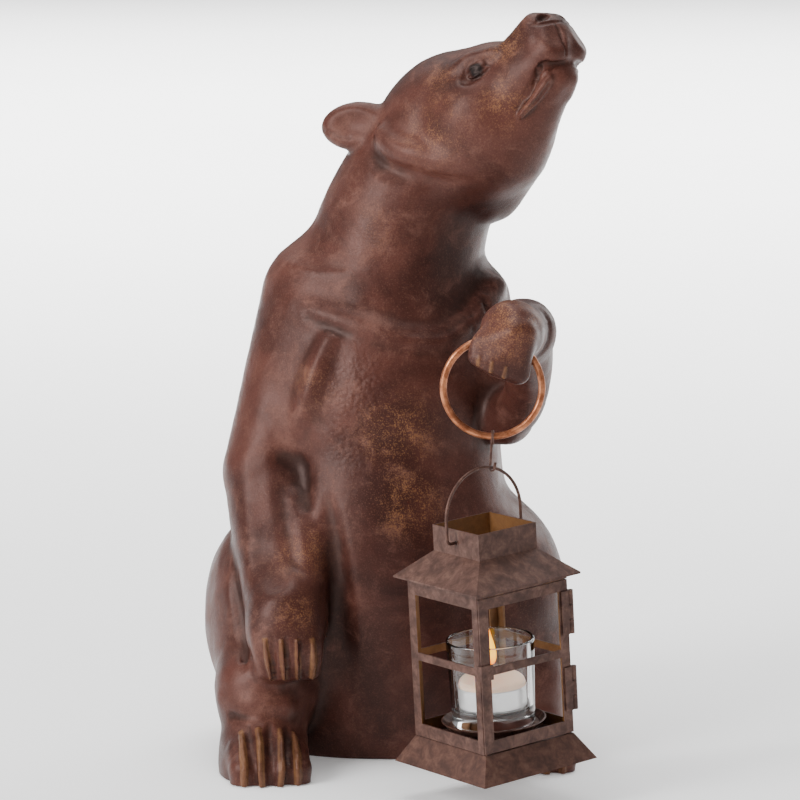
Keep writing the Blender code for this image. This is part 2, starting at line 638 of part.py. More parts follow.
def build_bear():
    points, quads = bear_field(SCULPT_STEP).skin()
    mesh = bpy.data.meshes.new("bear_body")
    mesh.from_pydata((points * UNIT).tolist(), [], quads.tolist())
    figure = link("bear_body", mesh, CAST_BROWN)
    thin = figure.modifiers.new("thin", "DECIMATE")
    thin.ratio = min(1.0, BEAR_FACES / (2.0 * len(quads)))
    thin.use_collapse_triangulate = True
    view = bpy.context.evaluated_depsgraph_get()
    lighter = bpy.data.meshes.new_from_object(figure.evaluated_get(view))
    figure.modifiers.clear()
    figure.data = lighter
    level_base(lighter)
    for face in lighter.polygons:
        face.use_smooth = True
    return figure


bear = build_bear()


# Shapes of the ring, wires and sheet-metal pieces

def finish(name, work, paint, parent=None, smooth=False):
    bmesh.ops.recalc_face_normals(work, faces=work.faces)
    mesh = bpy.data.meshes.new(name)
    work.to_mesh(mesh)
    work.free()
    for face in mesh.polygons:
        face.use_smooth = smooth
    return link(name, mesh, paint, parent)


def turned(work, profile, sides, spin=0.0):
    """Turns a profile of (radius, height) about the upright axis; ends on the axis are closed there."""
    rings = []
    for radius, height in profile:
        if radius < 1e-9:
            rings.append([work.verts.new((0, 0, height))])
            continue
        turns = [spin + math.tau * i / sides for i in range(sides)]
        rings.append([work.verts.new((radius * math.cos(t), radius * math.sin(t), height)) for t in turns])
    on_axis = len(rings[0]) == 1
    pairs = list(zip(rings, rings[1:]))
    if not on_axis:
        pairs.append((rings[-1], rings[0]))
    for first, second in pairs:
        for i in range(sides):
            j = (i + 1) % sides
            lower = [first[i % len(first)], first[j % len(first)]]
            corners = lower + [second[j % len(second)], second[i % len(second)]]
            work.faces.new(list(dict.fromkeys(corners)))


def square_turned(work, profile):
    """The same for a square piece: the profile gives half side lengths."""
    turned(work, [(half * math.sqrt(2), height) for half, height in profile], 4, math.pi / 4)


def tube(work, path, radius, sides, closed=False):
    """A round wire along a path."""
    points = [Vector(point) for point in path]
    count = len(points)
    tangents = []
    for i in range(count):
        before = points[i - 1] if i or closed else points[i]
        after = points[(i + 1) % count] if i + 1 < count or closed else points[i]
        tangents.append((after - before).normalized())
    normal = tangents[0].orthogonal().normalized()
    rings = []
    for point, tangent in zip(points, tangents):
        normal = (normal - tangent * normal.dot(tangent)).normalized()
        other = tangent.cross(normal)
        turns = [math.tau * i / sides for i in range(sides)]
        rim = [normal * math.cos(t) + other * math.sin(t) for t in turns]
        rings.append([work.verts.new(point + way * radius) for way in rim])
    pairs = list(zip(rings, rings[1:]))
    if closed:
        pairs.append((rings[-1], rings[0]))
    for first, second in pairs:
        for i in range(sides):
            j = (i + 1) % sides
            work.faces.new((first[i], first[j], second[j], second[i]))
    if not closed:
        work.faces.new(rings[0][::-1])
        work.faces.new(rings[-1])


def lattice(work, cuts, filled):
    """Closed solid of the cells between cut planes that the rule fills."""
    spans = [list(zip(cut, cut[1:])) for cut in cuts]
    sizes = [len(span) for span in spans]

    def solid(cell):
        if any(not 0 <= cell[i] < sizes[i] for i in range(3)):
            return False
        return filled(*[sum(spans[i][cell[i]]) / 2 for i in range(3)])

    corners = {}

    def corner(index):
        if index not in corners:
            corners[index] = work.verts.new([cuts[i][index[i]] for i in range(3)])
        return corners[index]

    for cell in np.ndindex(*sizes):
        if not solid(cell):
            continue
        for axis in range(3):
            one, two = (axis + 1) % 3, (axis + 2) % 3
            for side in (0, 1):
                beyond = list(cell)
                beyond[axis] += 2 * side - 1
                if solid(beyond):
                    continue
                face = []
                for a, b in ((0, 0), (1, 0), (1, 1), (0, 1)):
                    index = list(cell)
                    index[axis] += side
                    index[one] += a
                    index[two] += b
                    face.append(corner(tuple(index)))
                work.faces.new(face if side else face[::-1])


def cutter(name, work, parent=None):
    """A hidden shape that a piece is cut with."""
    made = finish(name, work, RUST_SHEET, parent)
    made.hide_render = True
    made.display_type = "WIRE"
    return made


def cut_from(piece, tool):
    hole = piece.modifiers.new("cut", "BOOLEAN")
    hole.operation = "DIFFERENCE"
    hole.solver = "EXACT"
    hole.object = tool


def joined(piece, other):
    weld = piece.modifiers.new("weld", "BOOLEAN")
    weld.operation = "UNION"
    weld.solver = "EXACT"
    weld.object = other


def circle(radius, count):
    turns = [math.tau * i / count for i in range(count)]
    return [Vector((math.cos(t), 0, math.sin(t))) * radius for t in turns]


# The ring hangs upright in a bore through the raised paw

work = bmesh.new()
tube(work, circle(RING_RADIUS, RING_SEGMENTS), RING_WIRE, RING_SIDES, closed=True)
ring = finish("ring", work, COPPER, smooth=True)
ring.location = RING_CENTRE

work = bmesh.new()
tube(work, circle(RING_RADIUS, RING_SEGMENTS), RING_WIRE + RING_BORE_GAP, RING_SIDES, closed=True)
ring_bore = cutter("ring_bore", work)
ring_bore.location = RING_CENTRE
cut_from(bear, ring_bore)


# The lantern's frame of reference: origin between the bail's ears, X along the ears, Z up the lantern

lantern = bpy.data.objects.new("lantern", None)
bpy.context.scene.collection.objects.link(lantern)
LANTERN_SPIN = Euler((0.0, LANTERN_TILT, LANTERN_TURN))
lantern.rotation_euler = LANTERN_SPIN
LANTERN_AXES = LANTERN_SPIN.to_matrix()
BAIL_ARC_ANGLE = math.asin(HOOK_ON_BAIL / BAIL_RADIUS)
HOOK_SEAT = Vector((HOOK_ON_BAIL, 0.0, BAIL_LEG + BAIL_RADIUS * math.cos(BAIL_ARC_ANGLE)))
RING_LOW_POINT = RING_CENTRE - Vector((0, 0, RING_RADIUS))
HOOK_DROP = 17.0 * MM
lantern.location = RING_LOW_POINT - Vector((0, 0, HOOK_DROP)) - LANTERN_AXES @ HOOK_SEAT


def level(depth):
    """Height in the lantern's frame of a depth below the chimney top."""
    return EAR_DEPTH - depth


# Bail: a wire arch whose ends turn in through the chimney's ear holes

def bail_half(side):
    inner = CHIMNEY_SIDE / 2 - SHEET - BAIL_END
    bend_centre = Vector((BAIL_RADIUS - BAIL_BEND, 0, BAIL_BEND))
    points = [Vector((inner, 0, 0))]
    for step in range(4):
        turn = math.radians(-90 + 30 * step)
        points.append(bend_centre + Vector((math.cos(turn), 0, math.sin(turn))) * BAIL_BEND)
    for step in range(9):
        turn = math.radians(10 * step)
        points.append(Vector((math.cos(turn) * BAIL_RADIUS, 0, BAIL_LEG + math.sin(turn) * BAIL_RADIUS)))
    return [Vector((point.x * side, 0, point.z)) for point in points]


work = bmesh.new()
top = Vector((0, 0, BAIL_LEG + BAIL_RADIUS))
tube(work, bail_half(-1) + [top] + bail_half(1)[::-1], BAIL_WIRE, 6)
bail = finish("bail", work, RUST_WIRE, lantern, smooth=True)

# Hook: over the ring at the top, under the bail at the bottom

over_radius = RING_WIRE + HOOK_WIRE + HOOK_GAP
under_radius = BAIL_WIRE + HOOK_WIRE + HOOK_GAP
under = RING_LOW_POINT - Vector((0, 0, HOOK_DROP))
bail_along = LANTERN_AXES @ Vector((math.cos(BAIL_ARC_ANGLE), 0, -math.sin(BAIL_ARC_ANGLE)))
side_way = Vector((0, 0, 1)).cross(bail_along).normalized()
down_way = bail_along.cross(side_way).normalized() * -1
route = [RING_LOW_POINT + Vector((0, -over_radius, -4.0 * MM))]
for step in range(9):
    turn = math.radians(180 - 22.5 * step)
    route.append(RING_LOW_POINT + Vector((0, math.cos(turn), math.sin(turn))) * over_radius)
for step in range(9):
    turn = math.radians(22.5 * step)
    route.append(under + (side_way * math.cos(turn) + down_way * math.sin(turn)) * under_radius)
route.append(under - side_way * under_radius - down_way * 3.0 * MM)
work = bmesh.new()
tube(work, route, HOOK_WIRE, 6)
hook = finish("hook", work, RUST_WIRE, smooth=True)

# Chimney and roof, folded from one sheet thickness

chimney_half = CHIMNEY_SIDE / 2
eave_half = EAVE_SIDE / 2
roof_fall = (EAVE_DEPTH - CHIMNEY_HEIGHT) / (eave_half - chimney_half)
inner_fold = CHIMNEY_HEIGHT + SHEET * (math.hypot(1, roof_fall) - roof_fall)
inner_eave = inner_fold + (eave_half - chimney_half) * roof_fall
EAVE_LIP = EAVE_DEPTH + 1.0 * MM
work = bmesh.new()
square_turned(work, [
    (chimney_half, level(0)),
    (chimney_half, level(CHIMNEY_HEIGHT)),
    (eave_half, level(EAVE_DEPTH)),
    (eave_half, level(EAVE_LIP)),
    (eave_half - SHEET, level(EAVE_LIP)),
    (eave_half - SHEET, level(inner_eave)),
    (chimney_half - SHEET, level(inner_fold)),
    (chimney_half - SHEET, level(0)),
])
roof = finish("roof", work, RUST_SHEET, lantern)
work = bmesh.new()
tube(work, [(-CHIMNEY_SIDE, 0, 0), (CHIMNEY_SIDE, 0, 0)], EAR_HOLE, 10)
cut_from(roof, cutter("ear_holes", work, lantern))

# Frame: three windowed sides and a header over the door; the door closes the fourth

half = FRAME_SIDE / 2
inside = half - FRAME_SHEET
post = half - POST_WIDTH
frame_top = CHIMNEY_HEIGHT + (half - chimney_half) * roof_fall + SHEET * math.hypot(1, roof_fall) + GAP
window_top = FRAME_TOP_DEPTH + TOP_RAIL
mid_top = FRAME_TOP_DEPTH + MID_RAIL_DROP
mid_low = mid_top + MID_RAIL
window_low = FRAME_BOTTOM_DEPTH - BOTTOM_RAIL
frame_low = FRAME_BOTTOM_DEPTH - GAP
door_top = FRAME_TOP_DEPTH
door_low = FRAME_BOTTOM_DEPTH - DOOR_GAP - GAP
header_low = FRAME_TOP_DEPTH - DOOR_GAP
RETURN = 3.0 * MM


def rail_or_post(along, height):
    """Whether a windowed side has metal at this place."""
    depth = EAR_DEPTH - height
    if abs(along) > post or depth < window_top or depth > window_low:
        return True
    return mid_top < depth < mid_low


def frame_metal(x, y, z):
    if y < -inside:
        return EAR_DEPTH - z < header_low
    if x < -inside or x > inside:
        return y > -inside + DOOR_GAP and rail_or_post(y, z) or EAR_DEPTH - z < header_low
    return y > inside and rail_or_post(x, z)


depths = (frame_top, header_low, window_top, mid_top, mid_low, window_low, frame_low)
levels = sorted(level(depth) for depth in depths)
across = (-half, -inside, -post, post, inside, half)
front_to_back = (-half, -inside, -inside + DOOR_GAP, -post, post, inside, half)
work = bmesh.new()
lattice(work, (across, front_to_back, levels), frame_metal)
frame = finish("lantern_frame", work, RUST_SHEET, lantern)

# Base: a floor plate with a skirt flaring below it

skirt_half = SKIRT_SIDE / 2
flare = (skirt_half - half) / SKIRT_DROP
skirt_wall = SHEET * math.hypot(1, flare)
work = bmesh.new()
square_turned(work, [
    (0, level(FRAME_BOTTOM_DEPTH)),
    (half, level(FRAME_BOTTOM_DEPTH)),
    (skirt_half, level(SKIRT_BOTTOM_DEPTH)),
    (skirt_half - skirt_wall, level(SKIRT_BOTTOM_DEPTH)),
    (half - skirt_wall + SHEET * flare, level(FRAME_BOTTOM_DEPTH + SHEET)),
    (0, level(FRAME_BOTTOM_DEPTH + SHEET)),
])
base = finish("lantern_base", work, RUST_SHEET, lantern)

# Door, on an axis beside the right corner post

HINGE_AXIS = Vector((half + HINGE_BARREL + GAP, -(half + inside) / 2, 0))
door_frame = bpy.data.objects.new("door_axis", None)
bpy.context.scene.collection.objects.link(door_frame)
door_frame.parent = lantern
door_frame.location = HINGE_AXIS


def door_metal(x, _, z):
    return rail_or_post(x + HINGE_AXIS.x, z)


work = bmesh.new()
door_x = [value - HINGE_AXIS.x for value in (-half, -post, post, half)]
door_y = [value - HINGE_AXIS.y for value in (-half, -inside)]
door_levels = sorted(level(depth) for depth in (door_top, window_top, mid_top, mid_low, window_low, door_low))
lattice(work, (door_x, door_y, door_levels), door_metal)
door = finish("door", work, RUST_SHEET, door_frame)

# Hinges: end knuckles and pin on the post, middle knuckle on the door

knuckle = HINGE_LENGTH / 3


def hinge_pieces(name, drop):
    middle = level(FRAME_TOP_DEPTH + drop) - HINGE_LENGTH / 2
    top = middle + HINGE_LENGTH / 2
    low = middle - HINGE_LENGTH / 2
    upper = middle + knuckle / 2
    lower = middle - knuckle / 2
    post_side = half + GAP - HINGE_AXIS.x
    door_side = -half - GAP - HINGE_AXIS.y
    sheet = HINGE_LEAF_SHEET

    work = bmesh.new()
    turned(work, [
        (0, top), (HINGE_BARREL, top), (HINGE_BARREL, upper + GAP), (HINGE_PIN, upper + GAP),
        (HINGE_PIN, lower - GAP), (HINGE_BARREL, lower - GAP), (HINGE_BARREL, low), (0, low),
    ], 12)
    fixed = finish(name + "_post_leaf", work, RUST_WIRE, lantern)
    fixed.location = HINGE_AXIS
    clear = HINGE_BARREL + GAP

    def post_leaf(_, y, z):
        return y > clear or z > upper + GAP or z < lower - GAP

    work = bmesh.new()
    heights = (low + 0.5 * MM, lower - GAP - 0.2 * MM, upper + GAP + 0.2 * MM, top - 0.5 * MM)
    lattice(work, ((post_side, post_side + sheet), (0.2 * MM, clear, clear + HINGE_LEAF), heights), post_leaf)
    joined(fixed, cutter(name + "_post_plate", work, fixed))

    work = bmesh.new()
    turned(work, [
        (HINGE_BORE, upper), (HINGE_BARREL, upper), (HINGE_BARREL, lower), (HINGE_BORE, lower),
    ], 12)
    swung = finish(name + "_door_leaf", work, RUST_WIRE, door_frame)

    def door_leaf(x, _, z):
        return x < -clear or lower + 0.2 * MM < z < upper - 0.2 * MM

    work = bmesh.new()
    heights = (low, lower + 0.3 * MM, upper - 0.3 * MM, top)
    widths = (-clear - HINGE_LEAF, -clear, -HINGE_BORE - 0.2 * MM)
    lattice(work, (widths, (door_side - sheet, door_side), heights), door_leaf)
    joined(swung, cutter(name + "_door_plate", work, swung))


for hinge_name, hinge_drop in zip(("upper_hinge", "lower_hinge"), HINGE_DROPS):
    hinge_pieces(hinge_name, hinge_drop)

# Catch: a bent strip on the door's free stile that laps round the corner post

catch_low = level(mid_low + 2.0 * MM)
catch_high = level(mid_top - 2.0 * MM)
catch_reach = 4.0 * MM
catch_x = [-half - GAP - HINGE_LEAF_SHEET, -half - GAP, -post + 1.0 * MM]
catch_y = [-half - GAP - HINGE_LEAF_SHEET, -half - GAP, -half - GAP - HINGE_LEAF_SHEET + catch_reach]
work = bmesh.new()
lattice(
    work,
    ([x - HINGE_AXIS.x for x in catch_x], [y - HINGE_AXIS.y for y in catch_y], (catch_low, catch_high)),
    lambda x, y, _: x + HINGE_AXIS.x < catch_x[1] or y + HINGE_AXIS.y < catch_y[1],
)
catch = finish("door_catch", work, RUST_WIRE, door_frame)

# Candle dish on its foot ring, glass and tealight, standing on the floor plate

floor = level(FRAME_BOTTOM_DEPTH) + GAP
plate = floor + DISH_FOOT_HEIGHT
work = bmesh.new()
turned(work, [
    (0, plate),
    (DISH_FOOT_RADIUS - SHEET, plate),
    (DISH_FOOT_RADIUS - SHEET, floor),
    (DISH_FOOT_RADIUS, floor),
    (DISH_FOOT_RADIUS, plate),
    (DISH_RADIUS - 3.5 * MM, plate),
    (DISH_RADIUS, plate + DISH_RIM),
    (DISH_RADIUS - SHEET, plate + DISH_RIM + 0.3 * MM),
    (DISH_RADIUS - 4.0 * MM, plate + SHEET),
    (0, plate + SHEET),
], 32)
dish = finish("candle_dish", work, RUST_SHEET, lantern)

glass_foot = plate + SHEET + GAP
work = bmesh.new()
turned(work, [
    (0, glass_foot),
    (CUP_BASE_RADIUS - 1.0 * MM, glass_foot),
    (CUP_BASE_RADIUS, glass_foot + 1.2 * MM),
    (CUP_TOP_RADIUS, glass_foot + CUP_HEIGHT - 0.6 * MM),
    (CUP_TOP_RADIUS - CUP_WALL / 2, glass_foot + CUP_HEIGHT),
    (CUP_TOP_RADIUS - CUP_WALL, glass_foot + CUP_HEIGHT - 0.6 * MM),
    (CUP_BASE_RADIUS - CUP_WALL, glass_foot + CUP_BASE + 1.5 * MM),
    (CUP_BASE_RADIUS - CUP_WALL - 2.0 * MM, glass_foot + CUP_BASE),
    (0, glass_foot + CUP_BASE),
], CUP_SEGMENTS)
cup = finish("glass_cup", work, CLEAR_GLASS, lantern, smooth=True)

candle_foot = glass_foot + CUP_BASE + GAP
tin_radius = min(TEALIGHT_RADIUS, CUP_BASE_RADIUS - CUP_WALL - GAP)
work = bmesh.new()
turned(work, [
    (0, candle_foot),
    (tin_radius - 2.0 * MM, candle_foot),
    (tin_radius, candle_foot + 2.0 * MM),
    (tin_radius, candle_foot + TEALIGHT_HEIGHT),
    (tin_radius - TEALIGHT_SHEET, candle_foot + TEALIGHT_HEIGHT),
    (tin_radius - TEALIGHT_SHEET, candle_foot + 2.2 * MM),
    (tin_radius - 2.0 * MM - TEALIGHT_SHEET, candle_foot + TEALIGHT_SHEET),
    (0, candle_foot + TEALIGHT_SHEET),
], 28)
tin = finish("tealight_tin", work, ALUMINIUM, lantern, smooth=True)

wax_foot = candle_foot + TEALIGHT_SHEET + GAP
wax_radius = tin_radius - TEALIGHT_SHEET - GAP
wax_top = candle_foot + WAX_HEIGHT
work = bmesh.new()
turned(work, [
    (0, wax_foot),
    (wax_radius - 2.2 * MM, wax_foot),
    (wax_radius, wax_foot + 2.4 * MM),
    (wax_radius, wax_top - 1.0 * MM),
    (wax_radius - 1.0 * MM, wax_top),
    (0, wax_top),
], 28)
wax = finish("tealight_wax", work, WAX, lantern, smooth=True)

work = bmesh.new()
turned(work, [
    (0, wax_top + GAP),
    (WICK_RADIUS, wax_top + GAP),
    (WICK_RADIUS, wax_top + GAP + WICK_HEIGHT),
    (0, wax_top + GAP + WICK_HEIGHT),
], 6)
wick = finish("wick", work, COTTON, lantern)
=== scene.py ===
"""Looks of the cast bear and its hanging candle lantern."""

import math

import bmesh
import bpy
import numpy as np
from mathutils import Euler, Matrix, Vector


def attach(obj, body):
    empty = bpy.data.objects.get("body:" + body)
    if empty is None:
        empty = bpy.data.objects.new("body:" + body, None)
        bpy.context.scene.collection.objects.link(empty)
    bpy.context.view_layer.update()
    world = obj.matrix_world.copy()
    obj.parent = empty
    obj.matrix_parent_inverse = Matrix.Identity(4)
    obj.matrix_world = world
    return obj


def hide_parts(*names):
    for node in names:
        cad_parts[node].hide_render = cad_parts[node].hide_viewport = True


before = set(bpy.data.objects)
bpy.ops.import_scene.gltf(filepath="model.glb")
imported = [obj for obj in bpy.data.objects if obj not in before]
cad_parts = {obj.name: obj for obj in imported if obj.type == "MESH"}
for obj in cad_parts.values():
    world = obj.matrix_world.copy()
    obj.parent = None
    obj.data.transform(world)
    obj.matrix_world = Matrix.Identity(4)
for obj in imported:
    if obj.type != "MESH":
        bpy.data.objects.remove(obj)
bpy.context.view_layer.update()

MM = 0.001

# Camera at the photograph's angle, and the plain floor
VIEW_TARGET = Vector((6.0, 0.0, 199.6)) * MM
VIEW_DISTANCE = 2263.0 * MM
VIEW_LIFT = math.radians(9.0)
VIEW_LENS = 180.0
SENSOR = 36.0
FLOOR_LEVEL = -0.5 * MM

# Sculpture: the pose is given in units of 1/421 of the figure's height
BEAR_HEIGHT = 421.0 * MM
UNIT = BEAR_HEIGHT / 421.0
SCULPT_STEP = 2.55
HEAD_TURN = math.radians(50.0)
HEAD_LIFT = math.radians(47.0)
HEAD_ROLL = math.radians(6.0)
HEAD_CENTRE = (35.0, 12.0, 357.5)
INSET = 0.24
CLAW_BLEND = 1.5
CHISEL_DEPTH = 20.0

# Ring through the raised paw
RING_CENTRE = Vector((55.4, -126.8, 226.4)) * UNIT
RING_RADIUS = 26.3 * MM
RING_WIRE = 1.95 * MM

# Lantern: side lengths of its square levels, and heights below the chimney top
LANTERN_TURN = math.radians(37.6)
LANTERN_TILT = math.radians(-3.8)
CHIMNEY_SIDE = 39.4 * MM
CHIMNEY_HEIGHT = 14.2 * MM
FRAME_BOTTOM_DEPTH = 117.1 * MM
EAR_DEPTH = CHIMNEY_HEIGHT / 2
SHEET = 0.8 * MM
GAP = 0.3 * MM
BAIL_WIRE = 0.85 * MM
BAIL_RADIUS = 25.5 * MM
BAIL_LEG = 12.0 * MM
BAIL_BEND = 2.6 * MM
BAIL_END = 2.6 * MM
HOOK_WIRE = 0.65 * MM
HOOK_STRAND = 0.36 * MM
HOOK_GAP = 0.35 * MM
HOOK_ON_BAIL = 7.5 * MM
HOOK_DROP = 17.0 * MM

# Candle in its glass
DISH_FOOT_HEIGHT = 5.0 * MM
CUP_TOP_RADIUS = 24.0 * MM
CUP_BASE_RADIUS = 22.4 * MM
CUP_HEIGHT = 47.5 * MM
CUP_WALL = 1.6 * MM
CUP_BASE = 8.5 * MM
TEALIGHT_RADIUS = 19.0 * MM
TEALIGHT_HEIGHT = 13.0 * MM
TEALIGHT_SHEET = 0.5 * MM
WAX_HEIGHT = 15.8 * MM
FLAME_HEIGHT = 21.0 * MM
FLAME_RISE = 6.5 * MM
FLAME_RADIUS = 3.6 * MM


# The lantern's frame of reference: origin between the bail's ears, X along the ears, Z up the lantern

LANTERN_AXES = Euler((0.0, LANTERN_TILT, LANTERN_TURN)).to_matrix()
BAIL_ARC_ANGLE = math.asin(HOOK_ON_BAIL / BAIL_RADIUS)
HOOK_SEAT = Vector((HOOK_ON_BAIL, 0.0, BAIL_LEG + BAIL_RADIUS * math.cos(BAIL_ARC_ANGLE)))
RING_LOW_POINT = RING_CENTRE - Vector((0, 0, RING_RADIUS))
LANTERN_ORIGIN = RING_LOW_POINT - Vector((0, 0, HOOK_DROP)) - LANTERN_AXES @ HOOK_SEAT
IN_LANTERN = Matrix.Translation(LANTERN_ORIGIN) @ LANTERN_AXES.to_4x4()


# Camera, lights and floor

def aim(thing, place, target):
    thing.location = place
    thing.rotation_euler = (Vector(target) - Vector(place)).to_track_quat("-Z", "Y").to_euler()


def add(name, data):
    made = bpy.data.objects.new(name, data)
    bpy.context.scene.collection.objects.link(made)
    return made


camera = add("camera", bpy.data.cameras.new("camera"))
camera.data.sensor_width = SENSOR
camera.data.lens = VIEW_LENS
back = Vector((0.0, -math.cos(VIEW_LIFT), math.sin(VIEW_LIFT)))
aim(camera, VIEW_TARGET + back * VIEW_DISTANCE, VIEW_TARGET)
bpy.context.scene.camera = camera


def soft_light(name, place, target, size, power, spread=180.0):
    lamp = bpy.data.lights.new(name, "AREA")
    lamp.shape = "RECTANGLE"
    lamp.size, lamp.size_y = size
    lamp.energy = power
    lamp.spread = math.radians(spread)
    aim(add(name, lamp), place, target)


soft_light("key", (-1.35, -1.0, 0.85), (0.0, 0.0, 0.22), (0.7, 1.1), 41.0)
soft_light("fill", (1.45, -1.15, 0.45), (0.0, 0.0, 0.2), (0.8, 1.1), 2.5)
soft_light("top", (-0.1, -0.05, 1.55), (0.0, 0.0, 0.2), (0.9, 0.9), 14.0)
soft_light("rim", (1.1, 1.2, 0.8), (0.0, 0.0, 0.25), (0.7, 0.9), 10.0)
soft_light("backdrop", (0.0, 4.0, 2.6), (0.0, 4.3, 0.0), (8.0, 5.5), 800.0, 120.0)

world = bpy.data.worlds.new("studio")
bpy.context.scene.world = world
world.use_nodes = True
world.node_tree.nodes["Background"].inputs["Color"].default_value = (1.0, 1.0, 1.0, 1.0)
world.node_tree.nodes["Background"].inputs["Strength"].default_value = 0.38


# Materials

class Paint:
    """Builds one material's nodes."""

    def __init__(self, name):
        self.material = bpy.data.materials.new(name)
        self.material.use_nodes = True
        self.nodes = self.material.node_tree.nodes
        self.links = self.material.node_tree.links
        self.shader = self.nodes["Principled BSDF"]

    def set(self, **values):
        for key, value in values.items():
            self.shader.inputs[key.replace("_", " ")].default_value = value
        return self

    def join(self, source, target):
        if isinstance(source, (int, float)):
            target.default_value = source
        elif isinstance(source, (tuple, list)):
            target.default_value = (*source, 1.0)[:len(target.default_value)]
        else:
            self.links.new(source, target)

    def where(self):
        return self.nodes.new("ShaderNodeTexCoord").outputs["Object"]

    def scaled(self, source, scale):
        node = self.nodes.new("ShaderNodeMapping")
        node.inputs["Scale"].default_value = scale
        self.join(source, node.inputs["Vector"])
        return node.outputs["Vector"]

    def noise(self, scale, detail=4.0, rough=0.55, source=None, warp=0.0):
        node = self.nodes.new("ShaderNodeTexNoise")
        node.inputs["Scale"].default_value = scale
        node.inputs["Detail"].default_value = detail
        node.inputs["Roughness"].default_value = rough
        node.inputs["Distortion"].default_value = warp
        self.join(self.where() if source is None else source, node.inputs["Vector"])
        return node.outputs["Fac"]

    def cells(self, scale, feature="F1", source=None):
        node = self.nodes.new("ShaderNodeTexVoronoi")
        node.feature = feature
        node.inputs["Scale"].default_value = scale
        self.join(self.where() if source is None else source, node.inputs["Vector"])
        return node.outputs["Distance"]

    def ramp(self, source, low, high, to_low=0.0, to_high=1.0):
        node = self.nodes.new("ShaderNodeMapRange")
        for key, value in (("From Min", low), ("From Max", high), ("To Min", to_low), ("To Max", to_high)):
            node.inputs[key].default_value = value
        node.interpolation_type = "SMOOTHSTEP"
        self.join(source, node.inputs["Value"])
        return node.outputs["Result"]

    def math(self, operation, one, two=0.0):
        node = self.nodes.new("ShaderNodeMath")
        node.operation = operation
        self.join(one, node.inputs[0])
        self.join(two, node.inputs[1])
        return node.outputs["Value"]

    def mix(self, share, one, two, kind="MIX"):
        node = self.nodes.new("ShaderNodeMix")
        node.data_type = "RGBA"
        node.blend_type = kind
        self.join(share, node.inputs["Factor"])
        self.join(one, node.inputs[6])
        self.join(two, node.inputs[7])
        return node.outputs[2]

    def field(self, name):
        node = self.nodes.new("ShaderNodeAttribute")
        node.attribute_name = name
        return node.outputs["Fac"]

    def facing(self, origin, axes):
        """Where a face looks inwards, to the upright axis of a frame."""
        place = self.nodes.new("ShaderNodeVectorMath")
        place.operation = "SUBTRACT"
        self.join(self.where(), place.inputs[0])
        place.inputs[1].default_value = origin
        normal = self.nodes.new("ShaderNodeTexCoord").outputs["Normal"]
        total = 0.0
        for axis in (axes.col[0], axes.col[1]):
            parts = []
            for source in (place.outputs["Vector"], normal):
                dot = self.nodes.new("ShaderNodeVectorMath")
                dot.operation = "DOT_PRODUCT"
                self.join(source, dot.inputs[0])
                dot.inputs[1].default_value = axis
                parts.append(dot.outputs["Value"])
            total = self.math("ADD", total, self.math("MULTIPLY", *parts))
        return self.ramp(total, -0.006, -0.002, 1.0, 0.0)

    def bump(self, height, distance, strength=1.0):
        node = self.nodes.new("ShaderNodeBump")
        node.inputs["Distance"].default_value = distance
        node.inputs["Strength"].default_value = strength
        self.join(height, node.inputs["Height"])
        self.join(node.outputs["Normal"], self.shader.inputs["Normal"])

    def to(self, socket, source):
        self.join(source, self.shader.inputs[socket])
        return self


def floor_paint():
    paint = Paint("studio_floor")
    tone = paint.noise(1.5, 2.0)
    paint.to("Base Color", paint.mix(tone, (0.93, 0.93, 0.93), (0.96, 0.96, 0.96)))
    paint.to("Roughness", paint.ramp(tone, 0.3, 0.7, 0.72, 0.8))
    paint.set(Emission_Color=(1.0, 1.0, 1.0, 1.0), Emission_Strength=0.18)
    return paint.material


floor_mesh = bpy.data.meshes.new("floor")
floor_corners = [(x, y, FLOOR_LEVEL) for x, y in ((-20, -6), (20, -6), (20, 40), (-20, 40))]
floor_mesh.from_pydata(floor_corners, [], [(0, 1, 2, 3)])
ground = add("floor", floor_mesh)
floor_mesh.materials.append(floor_paint())


